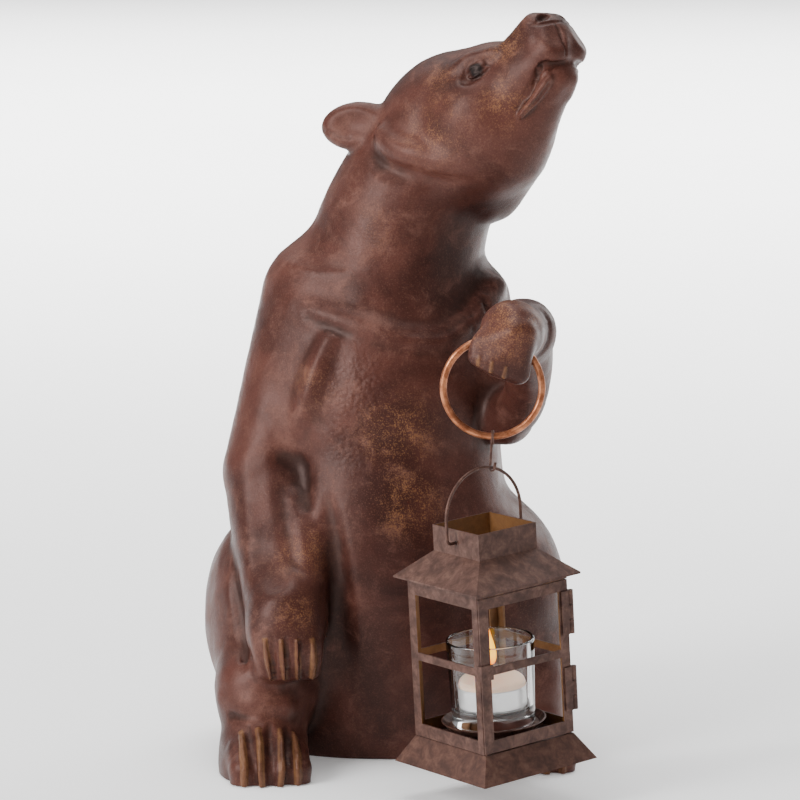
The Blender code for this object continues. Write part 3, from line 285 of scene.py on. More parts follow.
def bronze_paint():
    """Dark painted cast bronze: mottled brown with golden rubbed places, and painted shade on the shadow
    side, in the hollows and in the pupils.
    """
    paint = Paint("cast_brown")
    broad = paint.noise(16.0, 5.0, 0.6, warp=0.6)
    blotch = paint.noise(62.0, 7.0, 0.72, warp=0.4)
    grain = paint.noise(480.0, 5.0, 0.75)
    dark = (0.030, 0.0088, 0.0066)
    brown = (0.080, 0.0270, 0.0195)
    mauve = (0.135, 0.060, 0.047)
    gold = (0.25, 0.108, 0.040)
    base = paint.mix(paint.ramp(broad, 0.36, 0.66), dark, brown)
    base = paint.mix(paint.ramp(blotch, 0.48, 0.74, 0.0, 0.75), base, mauve)
    sand = paint.noise(1150.0, 3.0, 0.8)
    base = paint.mix(paint.ramp(sand, 0.52, 0.72, 0.0, 0.45), base, mauve)
    base = paint.mix(paint.ramp(sand, 0.48, 0.30, 0.0, 0.50), base, dark)
    rub = paint.field("rub")
    speckle = paint.ramp(paint.math("ADD", paint.math("MULTIPLY", blotch, 0.6), sand), 0.78, 1.00)
    spread = paint.math("MULTIPLY", paint.ramp(rub, 0.0, 1.0, 0.08, 1.0), speckle)
    base = paint.mix(paint.math("MULTIPLY", spread, 0.85), base, gold)
    # Painted shade: the colour is darkened where shade falls on the belly, neck and hip and in the deep
    # creases
    shade = paint.math("MULTIPLY", paint.field("shade"), paint.ramp(broad, 0.2, 0.7, 1.0, 0.7))
    base = paint.mix(shade, base, paint.mix(1.0, base, (0.36, 0.27, 0.26), "MULTIPLY"))
    worn = paint.math("MULTIPLY", paint.field("claw"), paint.ramp(blotch, 0.32, 0.62, 0.25, 0.70))
    base = paint.mix(worn, base, paint.mix(grain, (0.12, 0.052, 0.022), (0.30, 0.145, 0.058)))
    # Painted shade: the pupils are painted near black for the shade in a carved pupil
    base = paint.mix(paint.field("pupil_shade"), base, (0.006, 0.004, 0.004))
    # Painted shade: near black mixed in where the surface lies in a hollow
    base = paint.mix(paint.math("MULTIPLY", paint.field("hollow"), 0.6), base, (0.010, 0.005, 0.004))
    paint.to("Base Color", base)
    rough = paint.ramp(blotch, 0.3, 0.75, 0.34, 0.50)
    paint.to("Roughness", rough)
    paint.set(Specular_IOR_Level=0.26, Specular_Tint=(1.0, 0.74, 0.68, 1.0))
    lines = paint.noise(1.0, 3.0, 0.6, paint.scaled(paint.where(), (120.0, 300.0, 900.0)))
    stipple = paint.math("MULTIPLY", paint.cells(330.0), paint.field("stipple"))
    height = paint.math("ADD", paint.math("MULTIPLY", grain, 0.35), paint.math("MULTIPLY", blotch, 1.2))
    height = paint.math("ADD", height, paint.math("MULTIPLY", stipple, -1.6))
    scratched = paint.math("MULTIPLY", paint.field("lines"), 0.9)
    height = paint.math("ADD", height, paint.math("MULTIPLY", lines, scratched))
    height = paint.math("ADD", height, paint.math("MULTIPLY", sand, 0.25))
    paint.bump(height, 0.35 * MM, 0.8)
    return paint.material


def rust_paint(name, brassy=False):
    """Sheet or wire with mottled rust-brown paint, brassier where it faces the candle."""
    paint = Paint(name)
    blotch = paint.noise(135.0, 7.0, 0.68, warp=0.4)
    fine = paint.noise(520.0, 4.0, 0.7)
    dark = (0.046, 0.0185, 0.0125)
    mid = (0.090, 0.039, 0.027)
    pale = (0.165, 0.088, 0.062)
    base = paint.mix(paint.ramp(blotch, 0.34, 0.60), dark, mid)
    bloom = paint.math("ADD", blotch, paint.math("MULTIPLY", fine, 0.3))
    base = paint.mix(paint.ramp(bloom, 0.66, 0.86, 0.0, 0.5), base, pale)
    if brassy:
        inside = paint.facing(LANTERN_ORIGIN, LANTERN_AXES)
        base = paint.mix(inside, base, paint.mix(blotch, (0.075, 0.030, 0.010), (0.26, 0.120, 0.042)))
    paint.to("Base Color", base)
    paint.to("Roughness", paint.ramp(blotch, 0.3, 0.7, 0.60, 0.44))
    paint.set(Metallic=0.25, Specular_IOR_Level=0.4)
    height = paint.math("ADD", paint.math("MULTIPLY", blotch, 0.8), paint.math("MULTIPLY", fine, 0.3))
    paint.bump(height, 0.25 * MM, 0.7)
    return paint.material


def copper_paint():
    paint = Paint("copper")
    blotch = paint.noise(140.0, 5.0, 0.65)
    fine = paint.noise(900.0, 3.0, 0.6)
    base = paint.mix(paint.ramp(blotch, 0.35, 0.65), (0.20, 0.062, 0.026), (0.50, 0.195, 0.095))
    paint.to("Base Color", base)
    paint.to("Roughness", paint.ramp(blotch, 0.3, 0.7, 0.48, 0.30))
    paint.set(Metallic=0.85)
    paint.bump(fine, 0.08 * MM, 0.5)
    return paint.material


def glass_paint():
    paint = Paint("clear_glass")
    paint.set(Base_Color=(1.0, 1.0, 1.0, 1.0), Roughness=0.015, Transmission_Weight=1.0, IOR=1.45)
    ripple = paint.noise(45.0, 2.0, 0.5)
    paint.bump(ripple, 0.05 * MM, 0.3)
    return paint.material


def tin_paint():
    paint = Paint("aluminium")
    fine = paint.noise(260.0, 3.0, 0.6)
    paint.to("Base Color", paint.mix(fine, (0.80, 0.80, 0.79), (0.93, 0.93, 0.92)))
    paint.to("Roughness", paint.ramp(fine, 0.3, 0.7, 0.28, 0.42))
    paint.set(Metallic=0.55)
    paint.bump(fine, 0.05 * MM, 0.4)
    return paint.material


def wax_paint():
    paint = Paint("wax")
    fine = paint.noise(120.0, 3.0, 0.5)
    paint.to("Base Color", paint.mix(fine, (0.93, 0.62, 0.42), (0.97, 0.74, 0.56)))
    paint.to("Roughness", paint.ramp(fine, 0.3, 0.7, 0.35, 0.5))
    # Painted glow: the wax is given a warm emission for the flame's light shining through it
    paint.set(Subsurface_Weight=0.35, Subsurface_Scale=0.004, Emission_Strength=0.22)
    paint.to("Emission Color", paint.mix(fine, (1.0, 0.62, 0.40), (1.0, 0.70, 0.50)))
    paint.bump(fine, 0.1 * MM, 0.4)
    return paint.material


def wick_paint():
    paint = Paint("cotton")
    fine = paint.noise(1500.0, 3.0, 0.6)
    paint.to("Base Color", paint.mix(fine, (0.02, 0.016, 0.014), (0.12, 0.09, 0.07)))
    paint.to("Roughness", paint.ramp(fine, 0.3, 0.7, 0.8, 0.95))
    paint.bump(fine, 0.1 * MM, 0.6)
    return paint.material


def flame_paint():
    """Yellow-white flame, deeper orange at its tip and thin at its foot."""
    paint = Paint("flame")
    rise = paint.nodes.new("ShaderNodeSeparateXYZ")
    paint.join(paint.where(), rise.inputs["Vector"])
    share = paint.math("DIVIDE", rise.outputs["Z"], FLAME_HEIGHT)
    flicker = paint.math("ADD", share, paint.math("MULTIPLY", paint.noise(160.0, 2.0), 0.12))
    body = paint.mix(paint.ramp(flicker, 0.05, 0.40), (1.0, 0.26, 0.01), (1.0, 0.50, 0.02))
    body = paint.mix(paint.ramp(flicker, 0.72, 1.02), body, (1.0, 0.30, 0.01))
    paint.to("Emission Color", body)
    paint.to("Emission Strength", paint.ramp(flicker, 0.0, 0.3, 1.2, 2.2))
    paint.to("Base Color", body)
    paint.set(Roughness=1.0)
    return paint.material


BRONZE = bronze_paint()
RUST_SHEET = rust_paint("rust_sheet")
RUST_WIRE = rust_paint("rust_wire")
RUST_INSIDE = rust_paint("rust_sheet_inside", brassy=True)
COPPER = copper_paint()
GLASS = glass_paint()
TIN = tin_paint()
WAX = wax_paint()
COTTON = wick_paint()
FLAME = flame_paint()


# Sculpting in a distance field

def unit(vector):
    return np.asarray(vector, float) / np.linalg.norm(vector)


def head_axes():
    """Forward, right and up of the turned and lifted head."""
    forward = np.array([
        math.sin(HEAD_TURN) * math.cos(HEAD_LIFT),
        -math.cos(HEAD_TURN) * math.cos(HEAD_LIFT),
        math.sin(HEAD_LIFT),
    ])
    level = np.array([-math.cos(HEAD_TURN), -math.sin(HEAD_TURN), 0.0])
    crown = np.cross(level, forward)
    right = level * math.cos(HEAD_ROLL) + crown * math.sin(HEAD_ROLL)
    return forward, right, np.cross(right, forward)


HEAD_AXES = head_axes()
FORWARD, RIGHTWARD, UPWARD = HEAD_AXES


def on_head(forward, right, up):
    """A point of the head's own frame, in figure units."""
    along, across, over = HEAD_AXES
    return np.array(HEAD_CENTRE) + forward * along + right * across + up * over


def across_head(forward, right, up):
    """A direction given in the head's own frame."""
    return forward * FORWARD + right * RIGHTWARD + up * UPWARD


def touching_patterns():
    """Corner sets of a cell's faces, and its long diagonals, where signs could cross over."""
    patterns = []
    for one, two in ((0, 1), (1, 2), (0, 2)):
        steps = []
        for a, b in ((0, 0), (1, 1), (1, 0), (0, 1)):
            offset = [0, 0, 0]
            offset[one] = a
            offset[two] = b
            steps.append(tuple(offset))
        patterns.append(steps)
    return patterns


TOUCHING = touching_patterns()


class Clay:
    """A block of space that solid shapes are blended into and carved out of."""

    def __init__(self, low, high, step):
        self.low = np.array(low, float)
        self.step = step
        counts = np.ceil((np.array(high, float) - self.low) / step).astype(int) + 1
        self.axes = [self.low[i] + step * np.arange(counts[i]) for i in range(3)]
        self.field = np.full(counts, 1.0e3)
        self.shapes = []
        self.claw_shapes = []

    def window(self, low, high):
        """The slices, and the coordinates in them, that reach past a box."""
        cut = []
        for i in range(3):
            first = int(np.searchsorted(self.axes[i], low[i]))
            last = int(np.searchsorted(self.axes[i], high[i]))
            cut.append(slice(max(first - 1, 0), max(last + 1, 1)))
        grid = np.meshgrid(*[self.axes[i][cut[i]] for i in range(3)], indexing="ij")
        return tuple(cut), grid

    def join(self, low, high, distance, blend):
        self.shapes.append((low, high, distance, blend, False))
        cut, grid = self.window(low, high)
        old = self.field[cut]
        new = distance(*grid)
        mix = np.clip(0.5 + 0.5 * (old - new) / blend, 0.0, 1.0)
        self.field[cut] = old * (1.0 - mix) + new * mix - blend * mix * (1.0 - mix)

    def carve(self, low, high, distance, blend):
        self.shapes.append((low, high, distance, blend, True))
        cut, grid = self.window(low, high)
        old = self.field[cut]
        new = -distance(*grid)
        mix = np.clip(0.5 - 0.5 * (old - new) / blend, 0.0, 1.0)
        self.field[cut] = old * (1.0 - mix) + new * mix + blend * mix * (1.0 - mix)

    def egg(self, centre, radii, blend, axes=None, cut=False):
        """An ellipsoid, along the axes given or the world's."""
        centre = np.asarray(centre, float)
        axes = np.eye(3) if axes is None else np.array([unit(axis) for axis in axes])
        reach = np.sqrt(((axes * np.array(radii)[:, None]) ** 2).sum(0)) + blend + 2 * self.step

        def distance(x, y, z):
            rel = (x - centre[0], y - centre[1], z - centre[2])
            own = [sum(axis[i] * rel[i] for i in range(3)) for axis in axes]
            first = np.sqrt(sum((own[i] / radii[i]) ** 2 for i in range(3)))
            second = np.sqrt(sum((own[i] / radii[i] ** 2) ** 2 for i in range(3))) + 1e-9
            return first * (first - 1.0) / second

        (self.carve if cut else self.join)(centre - reach, centre + reach, distance, blend)

    def reading(self, points):
        """The field at any points, from the corners of their cells."""
        cell = (points - self.low) / self.step
        base = np.floor(cell).astype(int)
        share = cell - base
        total = np.zeros(len(points))
        for corner in np.ndindex(2, 2, 2):
            weight = np.prod(np.where(corner, share, 1.0 - share), axis=1)
            total += weight * self.field[tuple((base + corner).T)]
        return total

    def laid(self, points, lift):
        """Points moved onto the surface as it stands so far, then out from it by a lift."""
        points = points.copy()
        nudges = np.eye(3) * self.step / 2
        for _ in range(4):
            ahead = np.stack([self.reading(points + way) for way in nudges], axis=1)
            behind = np.stack([self.reading(points - way) for way in nudges], axis=1)
            slope = ahead - behind
            slope /= np.linalg.norm(slope, axis=1, keepdims=True) + 1e-9
            points -= slope * self.reading(points)[:, None]
        return points + slope * lift

    def limb(self, path, radii, blend, cut=False, lift=None):
        """A smooth tapered round length through points, laid on the surface where a lift is given."""
        spine = flowing(np.column_stack((np.array(path, float), radii)), 12 if max(radii) > 12.0 else 4)
        if lift is not None:
            spine[:, :3] = self.laid(spine[:, :3], lift)
        reach = spine[:, 3].max() + blend + 2 * self.step
        low = spine[:, :3].min(0) - reach
        high = spine[:, :3].max(0) + reach

        def distance(x, y, z):
            nearest = None
            for start, end in zip(spine, spine[1:]):
                along = (end - start)[:3]
                rel = (x - start[0], y - start[1], z - start[2])
                share = np.clip(sum(along[i] * rel[i] for i in range(3)) / float(along @ along), 0.0, 1.0)
                off = [rel[i] - share * along[i] for i in range(3)]
                away = np.sqrt(sum(o * o for o in off)) - (start[3] + (end[3] - start[3]) * share)
                nearest = away if nearest is None else np.minimum(nearest, away)
            return nearest

        (self.carve if cut else self.join)(low, high, distance, blend)

    def chisel(self, spot, along, normal, length, width, depth, blend=1.5):
        """A nearly flat facet cut into a rounded form at a point of its surface."""
        normal = unit(normal)
        across = unit(np.cross(normal, along))
        share = math.sqrt(1.0 - (1.0 - depth / CHISEL_DEPTH) ** 2)
        centre = np.asarray(spot, float) + normal * (CHISEL_DEPTH - depth)
        radii = (length / 2 / share, width / 2 / share, CHISEL_DEPTH)
        self.egg(centre, radii, blend, (np.cross(across, normal), across, normal), cut=True)

    def claw(self, path, radii):
        """A claw: a thin limb that lies on its toe and stands crisply out of it."""
        first = len(self.shapes)
        self.limb(path, radii, CLAW_BLEND, lift=0.4)
        self.claw_shapes += self.shapes[first:]

    def barrel(self, stations, blend):
        """A body whose level sections change smoothly: height, centre x, half width, front y and back y."""
        table = np.array(stations, float)
        low = (-140.0, -90.0, table[0, 0] - 20.0)
        high = (140.0, 140.0, table[-1, 0] + 30.0)

        def distance(x, y, z):
            level = [smooth_table(z, table[:, 0], table[:, i]) for i in range(1, 5)]
            middle, half, front, back = level
            depth = (back - front) / 2.0
            own_x = (x - middle) / half
            own_y = (y - (front + back) / 2.0) / depth
            ring = np.power(np.abs(own_x) ** 2.3 + np.abs(own_y) ** 2.3, 1.0 / 2.3)
            side = (ring - 1.0) * np.minimum(half, depth)
            over = np.maximum(z - table[-1, 0], table[0, 0] - z)
            return np.maximum(side, over)

        self.join(low, high, distance, blend)

    def at(self, points):
        """The exact distance value at any points."""
        value = np.full(len(points), 1.0e3)
        for low, high, distance, blend, cut in self.shapes:
            near = np.all((points > low) & (points < high), axis=1)
            if not near.any():
                continue
            old = value[near]
            new = distance(*points[near].T)
            sign = -1.0 if cut else 1.0
            new = new * sign
            mix = np.clip(0.5 + sign * 0.5 * (old - new) / blend, 0.0, 1.0)
            value[near] = old * (1.0 - mix) + new * mix - sign * blend * mix * (1.0 - mix)
        return value

    def claws(self, points):
        """Distance to the nearest claw."""
        nearest = np.full(len(points), 1.0e3)
        for low, high, distance, _, _ in self.claw_shapes:
            near = np.all((points > low) & (points < high), axis=1)
            if near.any():
                nearest[near] = np.minimum(nearest[near], distance(*points[near].T))
        return nearest

    def settle(self):
        """Turns the weakest corner of each face or cell where the surface would touch itself."""
        field = self.field
        for _ in range(20):
            turned_over = 0
            for offsets in TOUCHING:
                span = np.max(offsets, axis=0)
                size = np.array(field.shape) - span
                around = [field[tuple(slice(o, o + n) for o, n in zip(offset, size))] for offset in offsets]
                half = len(offsets) // 2
                pair = around[0] < 0.0
                bad = np.ones(pair.shape, bool)
                for corner in around[1:half]:
                    bad &= (corner < 0.0) == pair
                for corner in around[half:]:
                    bad &= (corner < 0.0) != pair
                places = np.argwhere(bad)
                if not len(places):
                    continue
                strength = np.stack([np.abs(corner[bad]) for corner in around], 1)
                weakest = np.array(offsets)[np.argmin(strength, 1)]
                spots = np.unique(places + weakest, axis=0)
                values = field[tuple(spots.T)]
                field[tuple(spots.T)] = np.where(values < 0.0, 0.05, -0.05) * self.step
                turned_over += len(spots)
            if not turned_over:
                break

    def skin(self):
        """Vertices and quads of the zero surface, one vertex in each crossed cell."""
        self.settle()
        field = self.field
        inside = field < 0.0
        shape = np.array(field.shape) - 1
        corners = [(i, j, k) for i in (0, 1) for j in (0, 1) for k in (0, 1)]

        def block(source, i, j, k):
            return source[i:i + shape[0], j:j + shape[1], k:k + shape[2]]

        count = sum(block(inside, *corner).astype(np.int8) for corner in corners)
        crossed = (count > 0) & (count < 8)
        total = np.zeros((*shape, 3))
        hits = np.zeros(shape)
        for first in corners:
            for axis in range(3):
                if first[axis]:
                    continue
                second = list(first)
                second[axis] = 1
                a = block(field, *first)
                b = block(field, *second)
                cross = (a < 0.0) != (b < 0.0)
                share = np.where(cross, a / np.where(cross, a - b, 1.0), 0.0)
                for i in range(3):
                    place = first[i] + (share if i == axis else 0.0)
                    total[..., i] += np.where(cross, place, 0.0)
                hits += cross
        cells = np.argwhere(crossed)
        number = np.full(tuple(shape), -1)
        number[crossed] = np.arange(len(cells))
        mean = total[crossed] / hits[crossed][:, None]
        points = self.low + (cells + mean) * self.step
        quads = []
        for axis in range(3):
            one, two = (axis + 1) % 3, (axis + 2) % 3
            head = [slice(None)] * 3
            tail = [slice(None)] * 3
            head[axis] = slice(1, None)
            tail[axis] = slice(None, -1)
            flips = inside[tuple(head)] != inside[tuple(tail)]
            edges = np.argwhere(flips)
            keep = (edges[:, one] > 0) & (edges[:, two] > 0)
            keep &= (edges[:, one] < shape[one]) & (edges[:, two] < shape[two])
            edges = edges[keep]
            starts = inside[tuple(edges.T)]
            ring = []
            for back_one, back_two in ((1, 1), (0, 1), (0, 0), (1, 0)):
                cell = edges.copy()
                cell[:, one] -= back_one
                cell[:, two] -= back_two
                ring.append(number[tuple(cell.T)])
            ring = np.stack(ring, 1)
            ring[~starts] = ring[~starts][:, ::-1]
            quads.append(ring)
        return points, np.concatenate(quads)


def flowing(points, parts):
    """More points along a smooth curve through the given ones."""
    if len(points) < 3:
        return points
    before = np.concatenate((2 * points[:1] - points[1:2], points, 2 * points[-1:] - points[-2:-1]))
    out = []
    for p, q, r, s in zip(before, before[1:], before[2:], before[3:]):
        for step in range(parts):
            t = step / parts
            bend = 2 * p - 5 * q + 4 * r - s
            twist = 3 * q - p - 3 * r + s
            out.append(q + ((r - p) * t + bend * t ** 2 + twist * t ** 3) / 2)
    out.append(points[-1])
    return np.array(out)


def smooth_table(z, heights, values):
    """Values between stations, by a curve that keeps its slope at each one."""
    slopes = np.gradient(values, heights)
    index = np.clip(np.searchsorted(heights, z) - 1, 0, len(heights) - 2)
    span = heights[index + 1] - heights[index]
    share = np.clip((z - heights[index]) / span, 0.0, 1.0)
    rise = 3 * share ** 2 - 2 * share ** 3
    lead = (share ** 3 - 2 * share ** 2 + share) * span * slopes[index]
    tail = (share ** 3 - share ** 2) * span * slopes[index + 1]
    return values[index] * (1 - rise) + values[index + 1] * rise + lead + tail


# Height, centre x, half width, front y and back y of the trunk
TRUNK = (
    (-8.0, 2.0, 78.0, -34.0, 84.0),
    (36.0, 2.0, 84.0, -48.0, 98.0),
    (91.0, 2.0, 84.0, -54.0, 102.0),
    (147.0, -1.0, 68.0, -50.0, 92.0),
    (204.0, -1.0, 63.0, -43.0, 82.0),
    (243.0, -2.0, 58.0, -34.0, 74.0),
    (272.0, -4.0, 50.0, -20.0, 66.0),
)

TOE_SPREAD = (-1.5, -0.5, 0.5, 1.5)


def foot(clay, heel, toe, width):
    """A flat hind foot with four toes and long claws, from heel to toe tips."""
    heel = np.array(heel, float)
    toe = np.array(toe, float)
    along = unit(toe - heel)
    across = unit(np.cross((0.0, 0.0, 1.0), along))
    middle = (heel + toe) / 2
    half = np.linalg.norm(toe - heel) / 2

    def spot(back, side, height):
        return toe * (1, 1, 0) - along * (1, 1, 0) * back + across * side + np.array((0, 0, height))

    clay.egg(middle * (1, 1, 0) + (0, 0, 4.0), (half, width + 2.0, 27.0), 8.0, (along, across, (0, 0, 1)))
    for slot in TOE_SPREAD:
        side = slot * width * 0.42 + 2.0
        clay.limb((spot(24.0, side, 14.0), spot(8.0 + abs(slot) * 2, side, 7.0)), (8.0, 8.2), 3.0)
        pad = 8.0 + abs(slot) * 2
        clay.limb((spot(pad, side, 7.0), spot(pad, side, 0.0)), (8.2, 8.0), 2.0)
    for slot in (-1.0, 0.0, 1.0):
        side = slot * width * 0.42 + 2.0
        route = (spot(26.0, side, 26.0), spot(18.0, side, 22.0), spot(8.0, side, 18.0), spot(-0.5, side, 8.0),
                 spot(-1.5, side, -6.0))
        clay.limb(route, (0.6, 2.6, 2.6, 2.2, 2.2), 2.0, cut=True, lift=0.0)
    for slot in TOE_SPREAD:
        side = slot * width * 0.42 + 2.0
        draw = abs(slot) * 2.0
        route = (spot(22.0 + draw, side, 24.5), spot(10.0 + draw, side, 18.5), spot(2.0 + draw, side, 8.5),
                 spot(0.5 + draw, side, -6.0))
        clay.claw(route, (1.2, 1.9, 1.9, 1.6))


def shape_legs(clay):
    """Thighs at the sides, then knees over the feet."""
    clay.egg((-61.5, 6.0, 81.0), (44.0, 58.0, 58.0), 12.0)
    clay.egg((59.5, 8.0, 82.0), (42.0, 58.0, 62.0), 12.0)
    clay.limb(((-66.0, -6.0, 60.0), (-70.0, -42.0, 43.0)), (34.0, 27.0), 14.0)
    clay.limb(((68.0, 0.0, 62.0), (74.0, -22.0, 40.0)), (30.0, 24.0), 14.0)
    clay.limb(((-70.0, -42.0, 43.0), (-70.0, -50.0, 20.0)), (26.5, 24.0), 8.0)
    clay.limb(((74.0, -22.0, 40.0), (77.0, -26.0, 18.0)), (23.0, 22.0), 8.0)
    clay.limb(((-90.0, -54.0, 39.0), (-74.0, -65.0, 39.0), (-58.0, -66.0, 38.0)), (6.0, 7.0, 6.0), 4.0)
    ankle = ((-88.0, -64.0, 32.0), (-74.0, -76.0, 32.0), (-54.0, -76.0, 32.0))
    clay.limb(ankle, (1.2, 1.8, 1.2), 3.0, cut=True)
    foot(clay, (-74.0, -24.0, 0.0), (-66.5, -99.0, 0.0), 23.5)
    foot(clay, (77.0, 4.0, 0.0), (81.0, -72.0, 0.0), 22.0)


def shape_arms(clay):
    """Upper arms, the lowered forearm with its paw on the knee, and the raised one with its paw bent down."""
    clay.limb(((-36.0, 24.0, 254.0), (-66.0, 0.0, 160.0)), (37.5, 28.5), 12.0)
    clay.limb(((40.0, 22.0, 249.0), (65.0, -14.0, 195.0)), (30.5, 16.5), 8.0)

    # Lowered forearm: a groove down its inside, and a long fold beside it
    clay.limb(((-88.0, -26.0, 130.0), (-87.0, -38.0, 105.0), (-83.0, -48.0, 80.0), (-79.0, -60.0, 57.0)),
              (3.0, 4.5, 4.0, 1.0), 5.0, cut=True)
    shadow = ((-35.0, -50.0, 150.0), (-32.0, -56.0, 128.0), (-29.0, -61.0, 95.0), (-28.0, -58.0, 55.0),
              (-35.0, -56.0, 22.0))
    clay.limb(shadow, (2.0, 6.0, 8.0, 8.0, 6.0), 6.0, cut=True)
    clay.limb(((-66.5, -2.0, 156.0), (-65.5, -16.0, 134.0), (-61.0, -50.0, 92.0), (-59.0, -58.0, 80.0)),
              (27.0, 25.0, 20.0, 19.5), 4.0)
    clay.limb(((-52.0, -32.0, 148.0), (-47.0, -44.0, 126.0), (-44.0, -54.0, 104.0), (-44.0, -60.0, 84.0)),
              (6.0, 9.0, 9.5, 8.5), 6.0)
    hollow = ((-59.0, -30.0, 171.0), (-52.0, -35.0, 166.0), (-48.0, -44.0, 148.0))
    clay.limb(hollow, (3.8, 5.2, 1.5), 6.0, cut=True, lift=1.4)
    clay.egg((-57.0, -64.0, 82.0), (20.5, 16.5, 28.0), 10.0)
    flat = ((-74.6, -26.0, 166.0), (-71.6, -40.0, 138.6), (-65.4, -58.0, 111.4), (-64.6, -66.0, 98.2))
    clay.limb(flat, (39.2, 40.2, 40.3, 39.2), 2.0, cut=True, lift=39.0)
    for side in TOE_SPREAD:
        root = (-57.0 + side * 8.0, -62.0 + abs(side) * 2.4, 94.0)
        knuckle = (-56.0 + side * 8.8, -75.5 + abs(side) * 2.2, 74.0)
        tip = (-55.5 + side * 8.0, -71.0 + abs(side) * 1.6, 59.5)
        clay.limb((root, knuckle, tip), (4.0, 6.6, 6.0), 5.0)
    for side in TOE_SPREAD:
        root = (-55.0 + side * 8.6, -82.5 + abs(side) * 2.6, 78.0)
        bend = (-54.0 + side * 8.2, -81.5 + abs(side) * 2.4, 66.0)
        tip = (-53.5 + side * 7.6, -77.0 + abs(side) * 1.8, 54.5)
        clay.claw((root, bend, tip), (1.0, 1.7, 1.3))
    under = ((-70.0, -74.0, 48.5), (-58.0, -80.0, 46.5), (-42.0, -74.0, 49.0))
    clay.limb(under, (2.0, 3.4, 2.6), 2.5, cut=True)

    # Raised forearm, cut free of the chest, with the wrist bent over
    gap = ((60.0, -50.0, 220.0), (61.0, -47.0, 204.0), (62.0, -42.0, 192.0))
    clay.limb(gap, (6.0, 7.0, 3.0), 6.0, cut=True)
    clay.limb(((65.5, -22.0, 193.0), (74.0, -40.0, 205.0), (76.5, -60.0, 225.0), (72.5, -94.0, 252.0)),
              (15.0, 12.8, 13.5, 17.0), 7.0)
    clay.limb(((72.5, -94.0, 252.0), (65.0, -122.0, 256.0)), (17.0, 16.5), 6.0)
    clay.limb(((66.0, -122.0, 255.0), (60.0, -128.0, 245.0)), (16.0, 12.0), 5.0)
    for side in TOE_SPREAD:
        knuckle = (61.5 + side * 7.0, -137.0 + abs(side) * 1.5, 258.0 - side)
        tip = (58.5 + side * 7.0, -134.0 + abs(side) * 1.5, 239.5 - side * 3.2)
        clay.limb((knuckle, tip), (6.4, 6.4), 5.0)
    clay.chisel((55.0, -141.0, 247.0), (1.0, 0.1, -0.25), (-0.35, -0.80, 0.45), 26.0, 10.0, 1.0, 3.0)
    clay.chisel((57.0, -134.0, 264.0), (0.6, 0.3, -0.7), (-0.55, -0.62, 0.56), 26.0, 20.0, 1.0, 4.0)
    for side in TOE_SPREAD[:-1]:
        root = (58.5 + side * 7.0, -139.8 + abs(side) * 1.5, 241.0 - side * 2.6)
        tip = (57.5 + side * 7.0, -139.0 + abs(side) * 1.5, 235.0 - side * 3.0)
        clay.claw((root, tip), (0.4, 0.7))


def shape_neck(clay):
    """Neck, the collar line where it meets the chest, and the ridge off the shoulder."""
    clay.limb(((-0.5, 26.0, 262.0), (11.0, 22.0, 305.0), (30.5, 15.0, 340.0)), (52.5, 47.0, 41.5), 8.0)
    clay.limb(((63.5, 0.0, 340.0), (57.0, 2.0, 318.0)), (18.5, 17.5), 8.0)
    clay.egg((50.0, -36.0, 284.0), (18.0, 16.0, 38.0), 14.0, cut=True)
    collar = ((-50.0, -8.0, 252.0), (-36.0, -18.0, 250.0), (-11.0, -29.0, 245.0), (10.0, -32.0, 239.0),
              (28.0, -28.0, 238.0), (42.0, -18.0, 244.0), (52.0, -7.0, 253.0), (60.0, 6.0, 264.0))
    above = [(x, y - 6.5, z + 8.0) for x, y, z in collar[3:]]
    clay.limb(above, (1.0, 3.0, 4.2, 4.0, 2.0), 5.0, cut=True)
    clay.limb(collar, (4.0, 6.6, 6.6, 6.0, 7.0, 7.6, 7.6, 6.0), 6.0)
    clay.limb(((-33.0, -26.0, 236.0), (-39.0, -29.0, 221.0), (-44.0, -29.0, 204.0), (-49.0, -24.0, 188.0)),
              (6.0, 7.6, 7.6, 5.0), 5.0)
    beside = ((-27.0, -43.0, 232.0), (-32.0, -47.0, 214.0), (-38.0, -46.0, 196.0))
    clay.limb(beside, (1.0, 2.6, 1.0), 6.0, cut=True)


